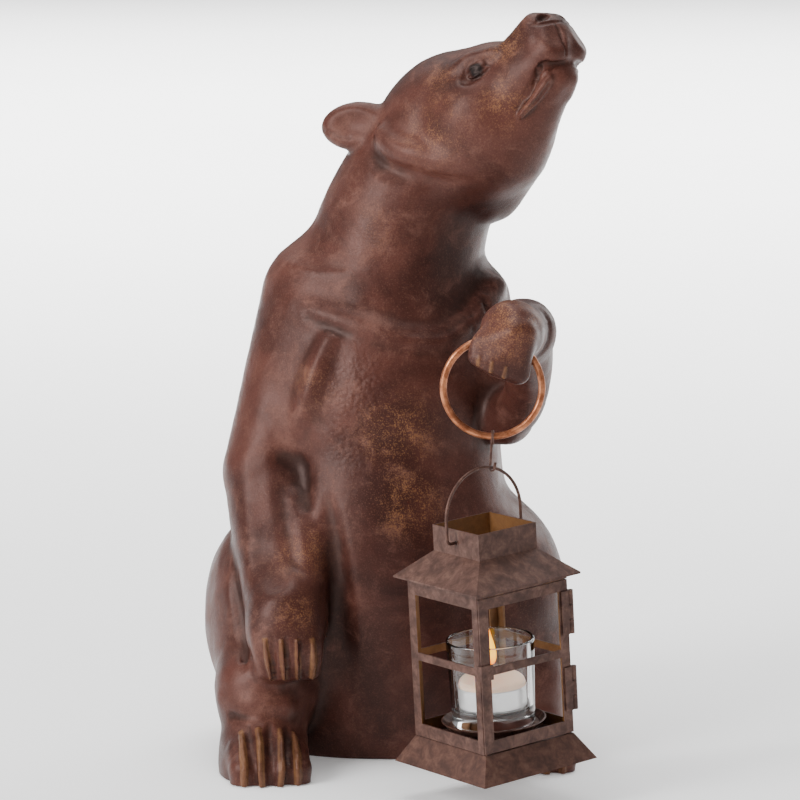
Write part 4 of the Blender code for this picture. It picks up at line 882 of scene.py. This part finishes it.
def shape_head(clay):
    """Cranium, brow, cheeks, jaw and muzzle, then the eyes, ears, nose and mouth."""
    axes = HEAD_AXES
    clay.egg(on_head(0.0, 0.0, 0.5), (40.5, 37.0, 36.0), 10.0, axes)
    clay.egg(on_head(26.0, 0.0, -6.5), (36.0, 29.0, 24.5), 12.0, axes)
    clay.egg(on_head(12.0, 0.0, -30.0), (40.0, 34.0, 32.0), 12.0, axes)
    clay.limb((on_head(34.0, 0.0, -26.0), on_head(78.0, 0.0, -23.0)), (28.0, 18.5), 10.0)
    clay.limb((on_head(20.0, 0.0, -42.0), on_head(71.0, 0.0, -36.5)), (20.0, 12.0), 8.0)
    clay.egg(on_head(84.0, 0.0, -18.0), (12.0, 16.5, 15.0), 5.0, axes)
    for side in (1.0, -1.0):

        def spot(forward, right, up, side=side):
            return on_head(forward, side * right, up)

        # Jaw line from ear to throat, standing over a groove in the neck
        jaw = (spot(-17.0, 41.0, 4.0), spot(-13.0, 41.5, -9.0), spot(-7.0, 38.5, -20.0),
               spot(-1.0, 33.5, -31.0), spot(7.0, 27.0, -41.0), spot(16.0, 19.0, -48.0))
        behind = (spot(-27.0, 47.0, 2.0), spot(-23.0, 47.0, -14.0), spot(-16.0, 44.0, -27.0),
                  spot(-9.0, 38.0, -39.0), spot(0.0, 31.0, -49.0))
        clay.limb(behind, (2.5, 3.6, 4.6, 4.0, 1.0), 7.0, cut=True)
        clay.limb(jaw, (3.5, 4.8, 5.6, 5.2, 3.8, 2.0), 9.0)
        clay.egg(spot(24.0, 24.0, -20.0), (18.0, 11.0, 13.0), 14.0, axes)

        # Boxy muzzle: an edge over each side of the bridge, and the hanging upper lip
        clay.limb((spot(50.0, 12.0, -10.0), spot(86.0, 9.0, -10.5)), (7.0, 6.0), 5.0)
        clay.limb((spot(58.0, 10.0, -30.0), spot(86.0, 8.0, -30.0)), (9.0, 8.5), 5.0)
        clay.chisel(spot(95.0, 9.0, -25.0), UPWARD, across_head(0.88, side * 0.45, -0.15), 24.0, 14.0, 1.0)

        # Eye, in a socket under the brow
        clay.egg(spot(49.0, 29.0, -9.8), (9.5, 4.6, 5.6), 3.0, axes, cut=True)
        clay.egg(spot(48.0, 22.9, -9.8), (6.2, 3.8, 3.6), 1.0, axes)
        brow = (spot(38.0, 25.0, 1.0), spot(49.0, 22.5, -0.5), spot(60.0, 17.5, -6.0))
        clay.limb(brow, (3.0, 3.4, 2.5), 7.0)

        # Ear: a thick rounded tongue, hollowed at the front
        root = np.array((-19.0, 30.5, 14.0))
        out = unit((-17.0, 11.0, 14.0))
        face = unit(np.cross(out, (0.45, 0.1, 1.0)))
        rise = np.cross(face, out)
        ear_axes = [across_head(*(own * (1, side, 1))) for own in (out, face, rise)]
        middle = root + out * 15.0
        clay.egg(spot(*middle), (22.0, 9.5, 14.0), 5.0, ear_axes)
        clay.egg(spot(*(middle + out * 2.0 + face * 10.5)), (14.0, 5.0, 8.0), 4.0, ear_axes, cut=True)

        # Mouth line, with the chin and lower lip under it, and the nostril
        mouth = (spot(88.0, 0.0, -40.5), spot(86.0, 6.0, -40.0), spot(79.0, 15.0, -36.5),
                 spot(70.0, 17.0, -39.0), spot(62.0, 18.5, -41.0), spot(53.0, 19.5, -42.0))
        clay.limb(mouth, (1.6, 1.8, 2.2, 2.2, 2.0, 1.2), 1.6, cut=True)
        clay.limb((spot(68.0, 5.0, -42.5), spot(77.0, 3.0, -43.0)), (6.5, 5.5), 4.0)
        wide = 1.0 if side > 0 else 0.5
        lip = (spot(76.0, 11.5 * wide, -42.0), spot(70.0, 13.0 * wide, -43.5), spot(61.0, 15.0 * wide, -45.0),
               spot(51.0, 17.5 * wide, -46.0))
        clay.limb(lip, (2.8, 3.3, 3.2, 2.0), 1.5)
        clay.egg(spot(96.5, 8.5, -12.0), (4.0, 2.8, 3.0), 1.5, axes, cut=True)


def carve_details(clay):
    """Fine carving: eyelids, nose, lips, ears, paws and the folds of the neck."""
    for side in (1.0, -1.0):

        def spot(forward, right, up, side=side):
            return on_head(forward, side * right, up)

        # Eyelids round the ball
        inner = spot(54.6, 22.0, -12.6)
        outer = spot(41.8, 24.6, -7.6)
        upper = (outer, spot(46.0, 26.2, -6.4), spot(50.6, 25.4, -8.0), inner)
        lower = (outer, spot(45.0, 26.4, -11.2), spot(50.0, 25.4, -13.2), inner)
        clay.limb(upper, (0.5, 1.1, 1.1, 0.5), 1.0)
        clay.limb(lower, (0.5, 0.9, 0.9, 0.5), 1.0)

        # Nostril with its comma, and the edge of the nose pad
        nostril = (spot(97.5, 6.0, -11.0), spot(95.5, 9.5, -12.0), spot(91.0, 13.0, -14.5))
        clay.limb(nostril, (1.5, 1.7, 0.5), 1.0, cut=True, lift=0.0)
        pad = (spot(98.5, 0.0, -18.5), spot(96.0, 8.0, -18.0), spot(91.5, 13.0, -16.5),
               spot(87.0, 14.5, -12.0))
        clay.limb(pad, (0.5, 0.7, 0.7, 0.3), 1.0, cut=True, lift=0.2)

        # Mouth slit, and the crisp strip of the lower lip
        if side > 0:
            slit = (spot(86.0, 6.0, -40.0), spot(83.0, 11.0, -38.6), spot(79.0, 15.5, -36.5),
                    spot(70.0, 17.6, -39.5), spot(62.0, 19.0, -41.5), spot(54.0, 20.0, -42.5))
            clay.limb(slit, (0.4, 1.0, 1.2, 1.2, 1.0, 0.5), 0.8, cut=True, lift=0.0)
            strip = (spot(75.5, 13.6, -43.0), spot(69.0, 15.2, -44.6), spot(61.0, 17.2, -46.2),
                     spot(52.0, 19.2, -47.4))
            clay.limb(strip, (1.6, 1.9, 1.8, 1.0), 0.8, lift=-0.4)
            below = [point - UPWARD * 3.6 for point in strip]
            clay.limb(below, (0.6, 1.0, 1.0, 0.4), 1.0, cut=True, lift=0.1)

        # Cheek knob, the fold before the ear, and the ear's own rim lines
        clay.egg(spot(25.0, 31.0, -22.0), (5.5, 2.8, 5.5), 6.0, HEAD_AXES)
        fold = (spot(-16.0, 40.0, 12.0), spot(-20.0, 43.0, 6.0), spot(-24.0, 44.0, 2.0))
        clay.limb(fold, (0.8, 1.6, 1.0), 1.2, cut=True, lift=0.0)
        rim = (spot(-44.0, 50.0, 33.0), spot(-39.0, 51.0, 26.0), spot(-31.0, 49.0, 17.0))
        clay.limb(rim, (0.5, 0.9, 0.7), 0.8, cut=True, lift=0.0)

    # Groove down the nose
    groove = (on_head(98.5, 6.0, -19.0), on_head(97.5, 6.2, -23.0), on_head(95.0, 6.5, -29.0),
              on_head(90.0, 6.0, -37.0))
    clay.limb(groove, (0.5, 0.8, 0.9, 0.7), 0.6, cut=True, lift=0.0)

    # Folds of the collar and the straps of the raised shoulder
    left = ((-46.0, -20.0, 250.0), (-34.0, -27.5, 245.0), (-23.0, -33.0, 242.0))
    clay.limb(left, (0.4, 1.2, 0.4), 4.0, cut=True, lift=0.5)
    right = ((6.0, -36.5, 243.0), (28.0, -33.0, 242.5), (40.0, -24.0, 248.0), (49.0, -16.0, 256.0),
             (58.0, -4.0, 266.0))
    clay.limb(right, (0.4, 1.4, 1.8, 1.5, 0.8), 2.4, cut=True, lift=0.3)
    for across in ((45.0, -21.0, 242.0), (51.0, -12.0, 249.0), (54.0, -8.0, 253.0)):
        end = np.array(across) + (1.5, 3.0, 9.0)
        clay.limb((across, end), (1.0, 0.7), 0.8, cut=True, lift=0.1)

    # The flat on the shoulder, and the creases of the paws
    strip = ((-32.9, -36.0, 232.0), (-37.3, -36.0, 216.4), (-42.8, -34.0, 199.0))
    clay.limb(strip, (18.7, 19.5, 18.9), 2.4, cut=True, lift=19.0)
    for slot in TOE_SPREAD[:-1]:
        side = slot + 0.5
        route = ((-56.0 + side * 8.6, -84.0, 80.0), (-55.5 + side * 8.4, -83.0, 68.0),
                 (-55.0 + side * 8.0, -77.0, 54.0))
        clay.limb(route, (0.3, 1.2, 1.1), 1.4, cut=True, lift=0.0)
    fold = ((74.0, -112.0, 276.0), (80.0, -106.0, 266.0), (81.0, -104.0, 254.0), (78.0, -108.0, 240.0))
    clay.limb(fold, (0.4, 1.1, 1.1, 0.4), 3.0, cut=True, lift=0.4)


def bear_field(step):
    """The whole figure, blended from its named masses and then carved."""
    clay = Clay((-122.0, -162.0, -12.0), (122.0, 116.0, 434.0), step)
    clay.barrel(TRUNK, 6.0)
    clay.egg((2.0, -4.0, 204.0), (57.0, 40.0, 42.0), 12.0)
    clay.egg((4.0, -18.0, 108.0), (62.0, 40.0, 62.0), 24.0)
    clay.egg((2.0, 98.0, 22.0), (9.0, 12.0, 15.0), 6.0)
    shape_legs(clay)
    shape_neck(clay)
    shape_arms(clay)
    shape_head(clay)
    carve_details(clay)
    return clay


# Places where the paint is rubbed, stippled or scratched: centre, reach and strength
RUBBED = (
    ((6.0, -48.0, 190.0), 26.0, 0.9),
    ((10.0, -58.0, 150.0), 24.0, 1.0),
    ((-47.0, -52.0, 120.0), 20.0, 0.8),
    ((-50.0, -70.0, 90.0), 18.0, 0.8),
    ((62.0, -132.0, 262.0), 26.0, 1.0),
    ((-42.0, -30.0, 214.0), 18.0, 0.5),
    ((-60.0, -88.0, 34.0), 22.0, 0.4),
    ((-14.0, -30.0, 300.0), 20.0, 0.5),
)
RUBBED_ON_HEAD = (
    ((30.0, 30.0, 2.0), 18.0, 0.5),
    ((70.0, 14.0, -8.0), 16.0, 1.0),
    ((14.0, 38.0, -18.0), 26.0, 0.7),
    ((50.0, 22.0, -36.0), 20.0, 0.8),
)
STIPPLED = (((-16.0, -50.0, 212.0), 26.0, 1.0), ((-24.0, -54.0, 186.0), 22.0, 0.9))
LINED = (((2.0, -30.0, 298.0), 30.0, 1.0), ((30.0, -30.0, 330.0), 24.0, 0.6))

# Places where shade is painted into the colour: the shadow side of the belly, neck and hip, and the deep
# creases
PAINTED_SHADE = (
    ((14.0, -58.0, 100.0), 62.0, 1.0),
    ((20.0, -50.0, 40.0), 62.0, 1.0),
    ((50.0, -30.0, 300.0), 40.0, 1.0),
    ((52.0, -30.0, 258.0), 26.0, 0.8),
    ((40.0, -50.0, 205.0), 40.0, 0.7),
    ((-52.0, -40.0, 164.0), 22.0, 0.7),
    ((-30.0, -60.0, 110.0), 26.0, 1.0),
    ((-50.0, -76.0, 50.0), 12.0, 0.8),
    ((-70.0, -92.0, 22.0), 14.0, 0.5),
    ((-104.0, 0.0, 90.0), 60.0, 0.45),
    ((-86.0, -10.0, 190.0), 40.0, 0.3),
)
# Pupils painted near black, as painted shade for their recess
PUPIL_SHADE = (((49.5, 26.5, -10.0), 4.4, 1.0), ((49.5, -26.5, -10.0), 4.4, 1.0))

# Places meshed finer: centre and reach
FINE_ON_HEAD = (((62.0, 6.0, -22.0), 46.0), ((-30.0, 44.0, 24.0), 24.0), ((0.0, 40.0, -24.0), 26.0))
FINE = (((61.0, -130.0, 250.0), 30.0), ((-56.0, -74.0, 72.0), 26.0), ((-67.0, -84.0, 10.0), 30.0),
        ((81.0, -58.0, 10.0), 28.0))
FINEST_ON_HEAD = (((49.0, 25.0, -9.5), 10.0), ((95.0, 6.0, -15.0), 12.0), ((70.0, 15.0, -42.0), 13.0),
                  ((93.0, 5.0, -30.0), 9.0))
FINEST = (((60.0, -139.0, 238.0), 13.0), ((-56.0, -80.0, 66.0), 17.0), ((-67.0, -96.0, 12.0), 19.0))


def lattice_noise(points, scale, seed):
    """Smooth random values between -1 and 1 at points."""
    place = points / scale + seed * 17.31
    cell = np.floor(place)
    part = place - cell
    part = part * part * (3.0 - 2.0 * part)
    total = np.zeros(len(points))
    for corner in np.ndindex(2, 2, 2):
        spot = cell + corner
        value = np.sin(spot @ np.array((127.1, 311.7, 74.7)) + seed) * 43758.5453
        value = value - np.floor(value)
        weight = np.prod(np.where(np.array(corner, bool), part, 1.0 - part), axis=1)
        total += value * weight
    return total * 2.0 - 1.0


def nearness(points, places):
    """How near points are to listed places, from 0 to 1."""
    near = np.zeros(len(points))
    for centre, reach, strength in places:
        away = np.linalg.norm(points - np.array(centre), axis=1) / reach
        near = np.maximum(near, strength * np.clip(1.2 - away, 0.0, 1.0))
    return near


def from_head(places):
    return [(tuple(on_head(*place[0])), *place[1:]) for place in places]


def mesh_points(mesh):
    flat = np.empty(len(mesh.vertices) * 3)
    mesh.vertices.foreach_get("co", flat)
    return flat.reshape(-1, 3)


def refined(mesh, places):
    """Halves the faces near some places."""
    work = bmesh.new()
    work.from_mesh(mesh)
    points = mesh_points(mesh)
    close = np.zeros(len(points), bool)
    for centre, reach in places:
        close |= np.linalg.norm(points - np.array(centre), axis=1) < reach
    work.verts.ensure_lookup_table()
    edges = [edge for edge in work.edges if close[edge.verts[0].index] and close[edge.verts[1].index]]
    bmesh.ops.subdivide_edges(work, edges=edges, cuts=1, use_grid_fill=True)
    work.to_mesh(mesh)
    work.free()


def settled(clay, points, rounds=3):
    """Moves points onto the exact surface of the shapes."""
    small = 0.15
    for _ in range(rounds):
        value = clay.at(points) + INSET
        ends = [(clay.at(points + small * axis), clay.at(points - small * axis)) for axis in np.eye(3)]
        slope = np.stack([(high - low) / (2 * small) for high, low in ends], 1)
        square = np.maximum((slope ** 2).sum(1), 0.04)
        move = slope * (value / square)[:, None]
        length = np.linalg.norm(move, axis=1)
        move *= np.minimum(1.0, 0.8 / np.maximum(length, 1e-9))[:, None]
        points = points - move
    return points


def cut_at_ground(mesh):
    """Cuts the underside flat at the ground and closes it."""
    work = bmesh.new()
    work.from_mesh(mesh)
    everything = work.verts[:] + work.edges[:] + work.faces[:]
    cut = bmesh.ops.bisect_plane(
        work, geom=everything, dist=1e-4, plane_co=(0, 0, 0), plane_no=(0, 0, -1), clear_outer=True
    )
    rim = [item for item in cut["geom_cut"] if isinstance(item, bmesh.types.BMEdge)]
    bmesh.ops.holes_fill(work, edges=rim, sides=0)
    bmesh.ops.triangulate(work, faces=[face for face in work.faces if len(face.verts) > 4])
    bmesh.ops.recalc_face_normals(work, faces=work.faces)
    work.to_mesh(mesh)
    work.free()


def store(mesh, name, values):
    layer = mesh.attributes.new(name, "FLOAT", "POINT")
    layer.data.foreach_set("value", np.ascontiguousarray(values, np.float32))


def cast_bear():
    """The whole figure at a fine step, with its relief and the places for its paint."""
    clay = bear_field(SCULPT_STEP)
    points, quads = clay.skin()
    mesh = bpy.data.meshes.new("bear_skin")
    mesh.from_pydata(points.tolist(), [], quads.tolist())
    refined(mesh, list(FINE) + from_head(FINE_ON_HEAD))
    refined(mesh, list(FINEST) + from_head(FINEST_ON_HEAD))
    points = settled(clay, mesh_points(mesh))
    mesh.vertices.foreach_set("co", points.ravel())
    mesh.update()
    flat = np.empty(len(mesh.vertices) * 3)
    mesh.vertices.foreach_get("normal", flat)
    normals = flat.reshape(-1, 3)
    relief = 0.22 * lattice_noise(points, 11.0, 1) + 0.12 * lattice_noise(points, 5.0, 2)
    relief += 0.22 * nearness(points, STIPPLED) * lattice_noise(points, 3.2, 3)
    relief = np.minimum(relief - 0.15, 0.0)
    mesh.vertices.foreach_set("co", (points + normals * relief[:, None]).ravel())
    cut_at_ground(mesh)
    points = mesh_points(mesh)
    store(mesh, "rub", nearness(points, list(RUBBED) + from_head(RUBBED_ON_HEAD)))
    store(mesh, "stipple", nearness(points, STIPPLED))
    # Painted shade: how strongly each point is darkened for the shade that falls there
    store(mesh, "shade", nearness(points, PAINTED_SHADE))
    store(mesh, "pupil_shade", np.clip(nearness(points, from_head(PUPIL_SHADE)) * 2.5, 0.0, 1.0))
    store(mesh, "lines", nearness(points, LINED))
    store(mesh, "claw", np.clip(1.2 - np.abs(clay.claws(points)) / 0.6, 0.0, 1.0))
    # Painted shade in the hollows: how deep each point lies below its neighbours
    store(mesh, "hollow", np.clip(hollows(mesh, points) * 2.2 - 0.25, 0.0, 1.0))
    mesh.transform(Matrix.Scale(UNIT, 4))
    for face in mesh.polygons:
        face.use_smooth = True
    mesh.materials.append(BRONZE)
    figure = add("bear_skin", mesh)
    return figure


def hollows(mesh, points):
    """How far each point lies below the average of its neighbours, spread a little."""
    ends = np.empty(len(mesh.edges) * 2, int)
    mesh.edges.foreach_get("vertices", ends)
    one, two = ends.reshape(-1, 2).T
    flat = np.empty(len(mesh.vertices) * 3)
    mesh.vertices.foreach_get("normal", flat)
    normals = flat.reshape(-1, 3)
    count = np.bincount(one, minlength=len(points)) + np.bincount(two, minlength=len(points))
    smooth = points.copy()
    for _ in range(4):
        total = np.stack([
            np.bincount(one, smooth[two, i], len(points)) + np.bincount(two, smooth[one, i], len(points))
            for i in range(3)
        ], 1)
        smooth = total / np.maximum(count, 1)[:, None]
    return ((smooth - points) * normals).sum(1)


bear = cast_bear()
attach(bear, "bear")
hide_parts("bear_body")


def level(depth):
    """Height in the lantern's frame of a depth below the chimney top."""
    return EAR_DEPTH - depth


def turned(name, profile, sides, paint, body, node=None, place=IN_LANTERN, shift=(0.0, 0.0, 0.0)):
    """Turns a profile of (radius, height) about the lantern's upright axis."""
    work = bmesh.new()
    rings = []
    for radius, height in profile:
        if radius < 1e-9:
            rings.append([work.verts.new((0, 0, height))])
            continue
        turns = [math.tau * i / sides for i in range(sides)]
        rings.append([work.verts.new((radius * math.cos(t), radius * math.sin(t), height)) for t in turns])
    for first, second in zip(rings, rings[1:]):
        for i in range(sides):
            j = (i + 1) % sides
            corners = [ring[k % len(ring)] for ring, k in ((first, i), (first, j), (second, j), (second, i))]
            work.faces.new(list(dict.fromkeys(corners)))
    bmesh.ops.recalc_face_normals(work, faces=work.faces)
    mesh = bpy.data.meshes.new(name)
    work.to_mesh(mesh)
    work.free()
    for face in mesh.polygons:
        face.use_smooth = True
    mesh.materials.append(paint)
    made = add(name, mesh)
    made.matrix_world = place @ Matrix.Translation(shift)
    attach(made, body)
    if node:
        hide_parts(node)
    return made


def rounded(points, reach, steps=4):
    """The same profile with its inner corners rounded."""
    out = [points[0]]
    for before, here, after in zip(points, points[1:], points[2:]):
        here_v = Vector(here)
        to_before = Vector(before) - here_v
        to_after = Vector(after) - here_v
        near = min(reach, to_before.length * 0.45, to_after.length * 0.45)
        start = here_v + to_before.normalized() * near
        end = here_v + to_after.normalized() * near
        for step in range(steps + 1):
            share = step / steps
            out.append(tuple(start * (1 - share) ** 2 + here_v * 2 * share * (1 - share) + end * share ** 2))
    out.append(points[-1])
    return out


floor_top = level(FRAME_BOTTOM_DEPTH) + GAP
glass_foot = floor_top + DISH_FOOT_HEIGHT + SHEET + GAP
cup_profile = [
    (0, glass_foot),
    (CUP_BASE_RADIUS - 1.0 * MM, glass_foot),
    (CUP_BASE_RADIUS, glass_foot + 1.2 * MM),
    (CUP_TOP_RADIUS, glass_foot + CUP_HEIGHT - 0.6 * MM),
    (CUP_TOP_RADIUS - CUP_WALL / 2, glass_foot + CUP_HEIGHT),
    (CUP_TOP_RADIUS - CUP_WALL, glass_foot + CUP_HEIGHT - 0.6 * MM),
    (CUP_BASE_RADIUS - CUP_WALL, glass_foot + CUP_BASE + 1.5 * MM),
    (CUP_BASE_RADIUS - CUP_WALL - 2.0 * MM, glass_foot + CUP_BASE),
    (0, glass_foot + CUP_BASE),
]
turned("cup", rounded(cup_profile, 0.9 * MM), 96, GLASS, "lantern", "glass_cup")

candle_foot = glass_foot + CUP_BASE + GAP
tin_radius = min(TEALIGHT_RADIUS, CUP_BASE_RADIUS - CUP_WALL - GAP)
tin_profile = [
    (0, candle_foot),
    (tin_radius - 2.0 * MM, candle_foot),
    (tin_radius - 0.3 * MM, candle_foot + 2.0 * MM),
    (tin_radius - 0.3 * MM, candle_foot + TEALIGHT_HEIGHT - 0.8 * MM),
    (tin_radius, candle_foot + TEALIGHT_HEIGHT - 0.4 * MM),
    (tin_radius - TEALIGHT_SHEET / 2, candle_foot + TEALIGHT_HEIGHT),
    (tin_radius - TEALIGHT_SHEET, candle_foot + TEALIGHT_HEIGHT - 0.4 * MM),
    (tin_radius - TEALIGHT_SHEET, candle_foot + 2.2 * MM),
    (0, candle_foot + TEALIGHT_SHEET),
]
turned("tin", rounded(tin_profile, 0.3 * MM, 3), 96, TIN, "lantern", "tealight_tin")

wax_foot = candle_foot + TEALIGHT_SHEET + GAP
wax_radius = tin_radius - TEALIGHT_SHEET - GAP
wax_top = candle_foot + WAX_HEIGHT
wax_profile = [
    (0, wax_foot),
    (wax_radius - 2.2 * MM, wax_foot),
    (wax_radius, wax_foot + 2.4 * MM),
    (wax_radius, wax_top - 1.0 * MM),
    (wax_radius - 1.2 * MM, wax_top - 0.1 * MM),
    (wax_radius * 0.8, wax_top),
    (wax_radius * 0.4, wax_top - 0.5 * MM),
    (0, wax_top - 0.6 * MM),
]
turned("candle", rounded(wax_profile, 0.8 * MM), 72, WAX, "lantern", "tealight_wax")


def wire(name, paths, radius, paint, body, node, closed=False, place=IN_LANTERN):
    """Round wires along smooth paths, as one piece in place of a part."""
    sides = 20
    work = bmesh.new()
    for path in paths:
        count = len(path)
        rings = []
        normal = None
        for i, point in enumerate(path):
            before = path[i - 1] if i or closed else point
            after = path[(i + 1) % count] if i + 1 < count or closed else point
            tangent = (after - before).normalized()
            normal = tangent.orthogonal() if normal is None else normal
            normal = (normal - tangent * normal.dot(tangent)).normalized()
            other = tangent.cross(normal)
            turns = [math.tau * k / sides for k in range(sides)]
            rim = [normal * math.cos(turn) + other * math.sin(turn) for turn in turns]
            rings.append([work.verts.new(point + way * radius) for way in rim])
        pairs = list(zip(rings, rings[1:])) + ([(rings[-1], rings[0])] if closed else [])
        for first, second in pairs:
            for i in range(sides):
                j = (i + 1) % sides
                work.faces.new((first[i], first[j], second[j], second[i]))
        if not closed:
            work.faces.new(rings[0][::-1])
            work.faces.new(rings[-1])
    bmesh.ops.recalc_face_normals(work, faces=work.faces)
    mesh = bpy.data.meshes.new(name)
    work.to_mesh(mesh)
    work.free()
    for face in mesh.polygons:
        face.use_smooth = True
    mesh.materials.append(paint)
    made = add(name, mesh)
    made.matrix_world = place
    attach(made, body)
    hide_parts(node)


def around(radius, count=144):
    turns = [math.tau * i / count for i in range(count)]
    return [Vector((math.cos(turn), 0.0, math.sin(turn))) * radius for turn in turns]


def bail_half(side):
    """Half of the bail: its end in the ear, the bend, the leg and a quarter of the arch."""
    inner = CHIMNEY_SIDE / 2 - SHEET - BAIL_END
    bend_centre = Vector((BAIL_RADIUS - BAIL_BEND, 0, BAIL_BEND))
    points = [Vector((inner, 0, 0))]
    for step in range(9):
        turn = math.radians(-90 + 11.25 * step)
        points.append(bend_centre + Vector((math.cos(turn), 0, math.sin(turn))) * BAIL_BEND)
    for step in range(30):
        turn = math.radians(3 * step)
        points.append(Vector((math.cos(turn) * BAIL_RADIUS, 0, BAIL_LEG + math.sin(turn) * BAIL_RADIUS)))
    return [Vector((point.x * side, 0, point.z)) for point in points]


def hook_strand(shift):
    """One strand of the hook: over the ring at the top, under the bail at the bottom."""
    over_radius = RING_WIRE + HOOK_WIRE + HOOK_GAP
    under_radius = BAIL_WIRE + HOOK_WIRE + HOOK_GAP
    under = RING_LOW_POINT - Vector((0, 0, HOOK_DROP))
    bail_along = LANTERN_AXES @ Vector((math.cos(BAIL_ARC_ANGLE), 0, -math.sin(BAIL_ARC_ANGLE)))
    side_way = Vector((0, 0, 1)).cross(bail_along).normalized()
    down_way = bail_along.cross(side_way).normalized() * -1
    route = [RING_LOW_POINT + Vector((0, -over_radius, -4.0 * MM))]
    for step in range(17):
        turn = math.radians(180 - 11.25 * step)
        route.append(RING_LOW_POINT + Vector((0, math.cos(turn), math.sin(turn))) * over_radius)
    for step in range(17):
        turn = math.radians(11.25 * step)
        route.append(under + (side_way * math.cos(turn) + down_way * math.sin(turn)) * under_radius)
    route.append(under - side_way * under_radius - down_way * 3.0 * MM)
    return [point + shift for point in route]


wire("ring_wire", [around(RING_RADIUS)], RING_WIRE, COPPER, "bear", "ring", closed=True,
     place=Matrix.Translation(RING_CENTRE))
arch_top = Vector((0, 0, BAIL_LEG + BAIL_RADIUS))
bail_path = bail_half(-1) + [arch_top] + bail_half(1)[::-1]
wire("bail_wire", [bail_path], BAIL_WIRE, RUST_WIRE, "bear", "bail")
strand_shift = Vector((HOOK_WIRE - HOOK_STRAND, 0, 0)) * 1.2
strands = [hook_strand(strand_shift), hook_strand(-strand_shift)]
wire("hook_strands", strands, HOOK_STRAND, RUST_WIRE, "bear", "hook", place=Matrix.Identity(4))


def smoothing(name, angle):
    """Shades faces smoothly where they meet at less than an angle."""
    group = bpy.data.node_groups.new(name, "GeometryNodeTree")
    group.interface.new_socket("Geometry", in_out="INPUT", socket_type="NodeSocketGeometry")
    group.interface.new_socket("Geometry", in_out="OUTPUT", socket_type="NodeSocketGeometry")
    start = group.nodes.new("NodeGroupInput")
    finish = group.nodes.new("NodeGroupOutput")
    faces = group.nodes.new("GeometryNodeSetShadeSmooth")
    edges = group.nodes.new("GeometryNodeSetShadeSmooth")
    edges.domain = "EDGE"
    bend = group.nodes.new("GeometryNodeInputMeshEdgeAngle")
    less = group.nodes.new("FunctionNodeCompare")
    less.operation = "LESS_THAN"
    less.inputs["B"].default_value = angle
    group.links.new(bend.outputs["Unsigned Angle"], less.inputs["A"])
    group.links.new(start.outputs[0], faces.inputs["Geometry"])
    group.links.new(faces.outputs["Geometry"], edges.inputs["Geometry"])
    group.links.new(less.outputs["Result"], edges.inputs["Shade Smooth"])
    group.links.new(edges.outputs["Geometry"], finish.inputs[0])
    return group


SMOOTH_FLATS = smoothing("smooth_flats", math.radians(35.0))

for node, paint in (
    ("roof", RUST_INSIDE), ("lantern_frame", RUST_INSIDE),
    ("lantern_base", RUST_SHEET), ("door", RUST_INSIDE), ("door_catch", RUST_WIRE),
    ("candle_dish", RUST_SHEET),
    ("upper_hinge_post_leaf", RUST_WIRE), ("upper_hinge_door_leaf", RUST_WIRE),
    ("lower_hinge_post_leaf", RUST_WIRE), ("lower_hinge_door_leaf", RUST_WIRE), ("wick", COTTON),
):
    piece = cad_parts[node]
    if node not in ("candle_dish", "wick"):
        edges = piece.modifiers.new("soft_edges", "BEVEL")
        edges.width = 0.15 * MM
        edges.segments = 1
        edges.angle_limit = math.radians(40.0)
    shade = piece.modifiers.new("smooth", "NODES")
    shade.node_group = SMOOTH_FLATS
    for slot in range(len(piece.material_slots)):
        piece.material_slots[slot].material = paint

flame_foot = wax_top + FLAME_RISE
flame_profile = [(0, 0)]
for step in range(1, 20):
    share = step / 20
    width = math.sin(math.pi * share ** 0.62) ** 0.9 * (1.0 - 0.35 * share)
    flame_profile.append((FLAME_RADIUS * width, FLAME_HEIGHT * share))
flame_profile.append((0, FLAME_HEIGHT))
turned("flame", flame_profile, 32, FLAME, "lantern", shift=(0.0, 0.0, flame_foot))
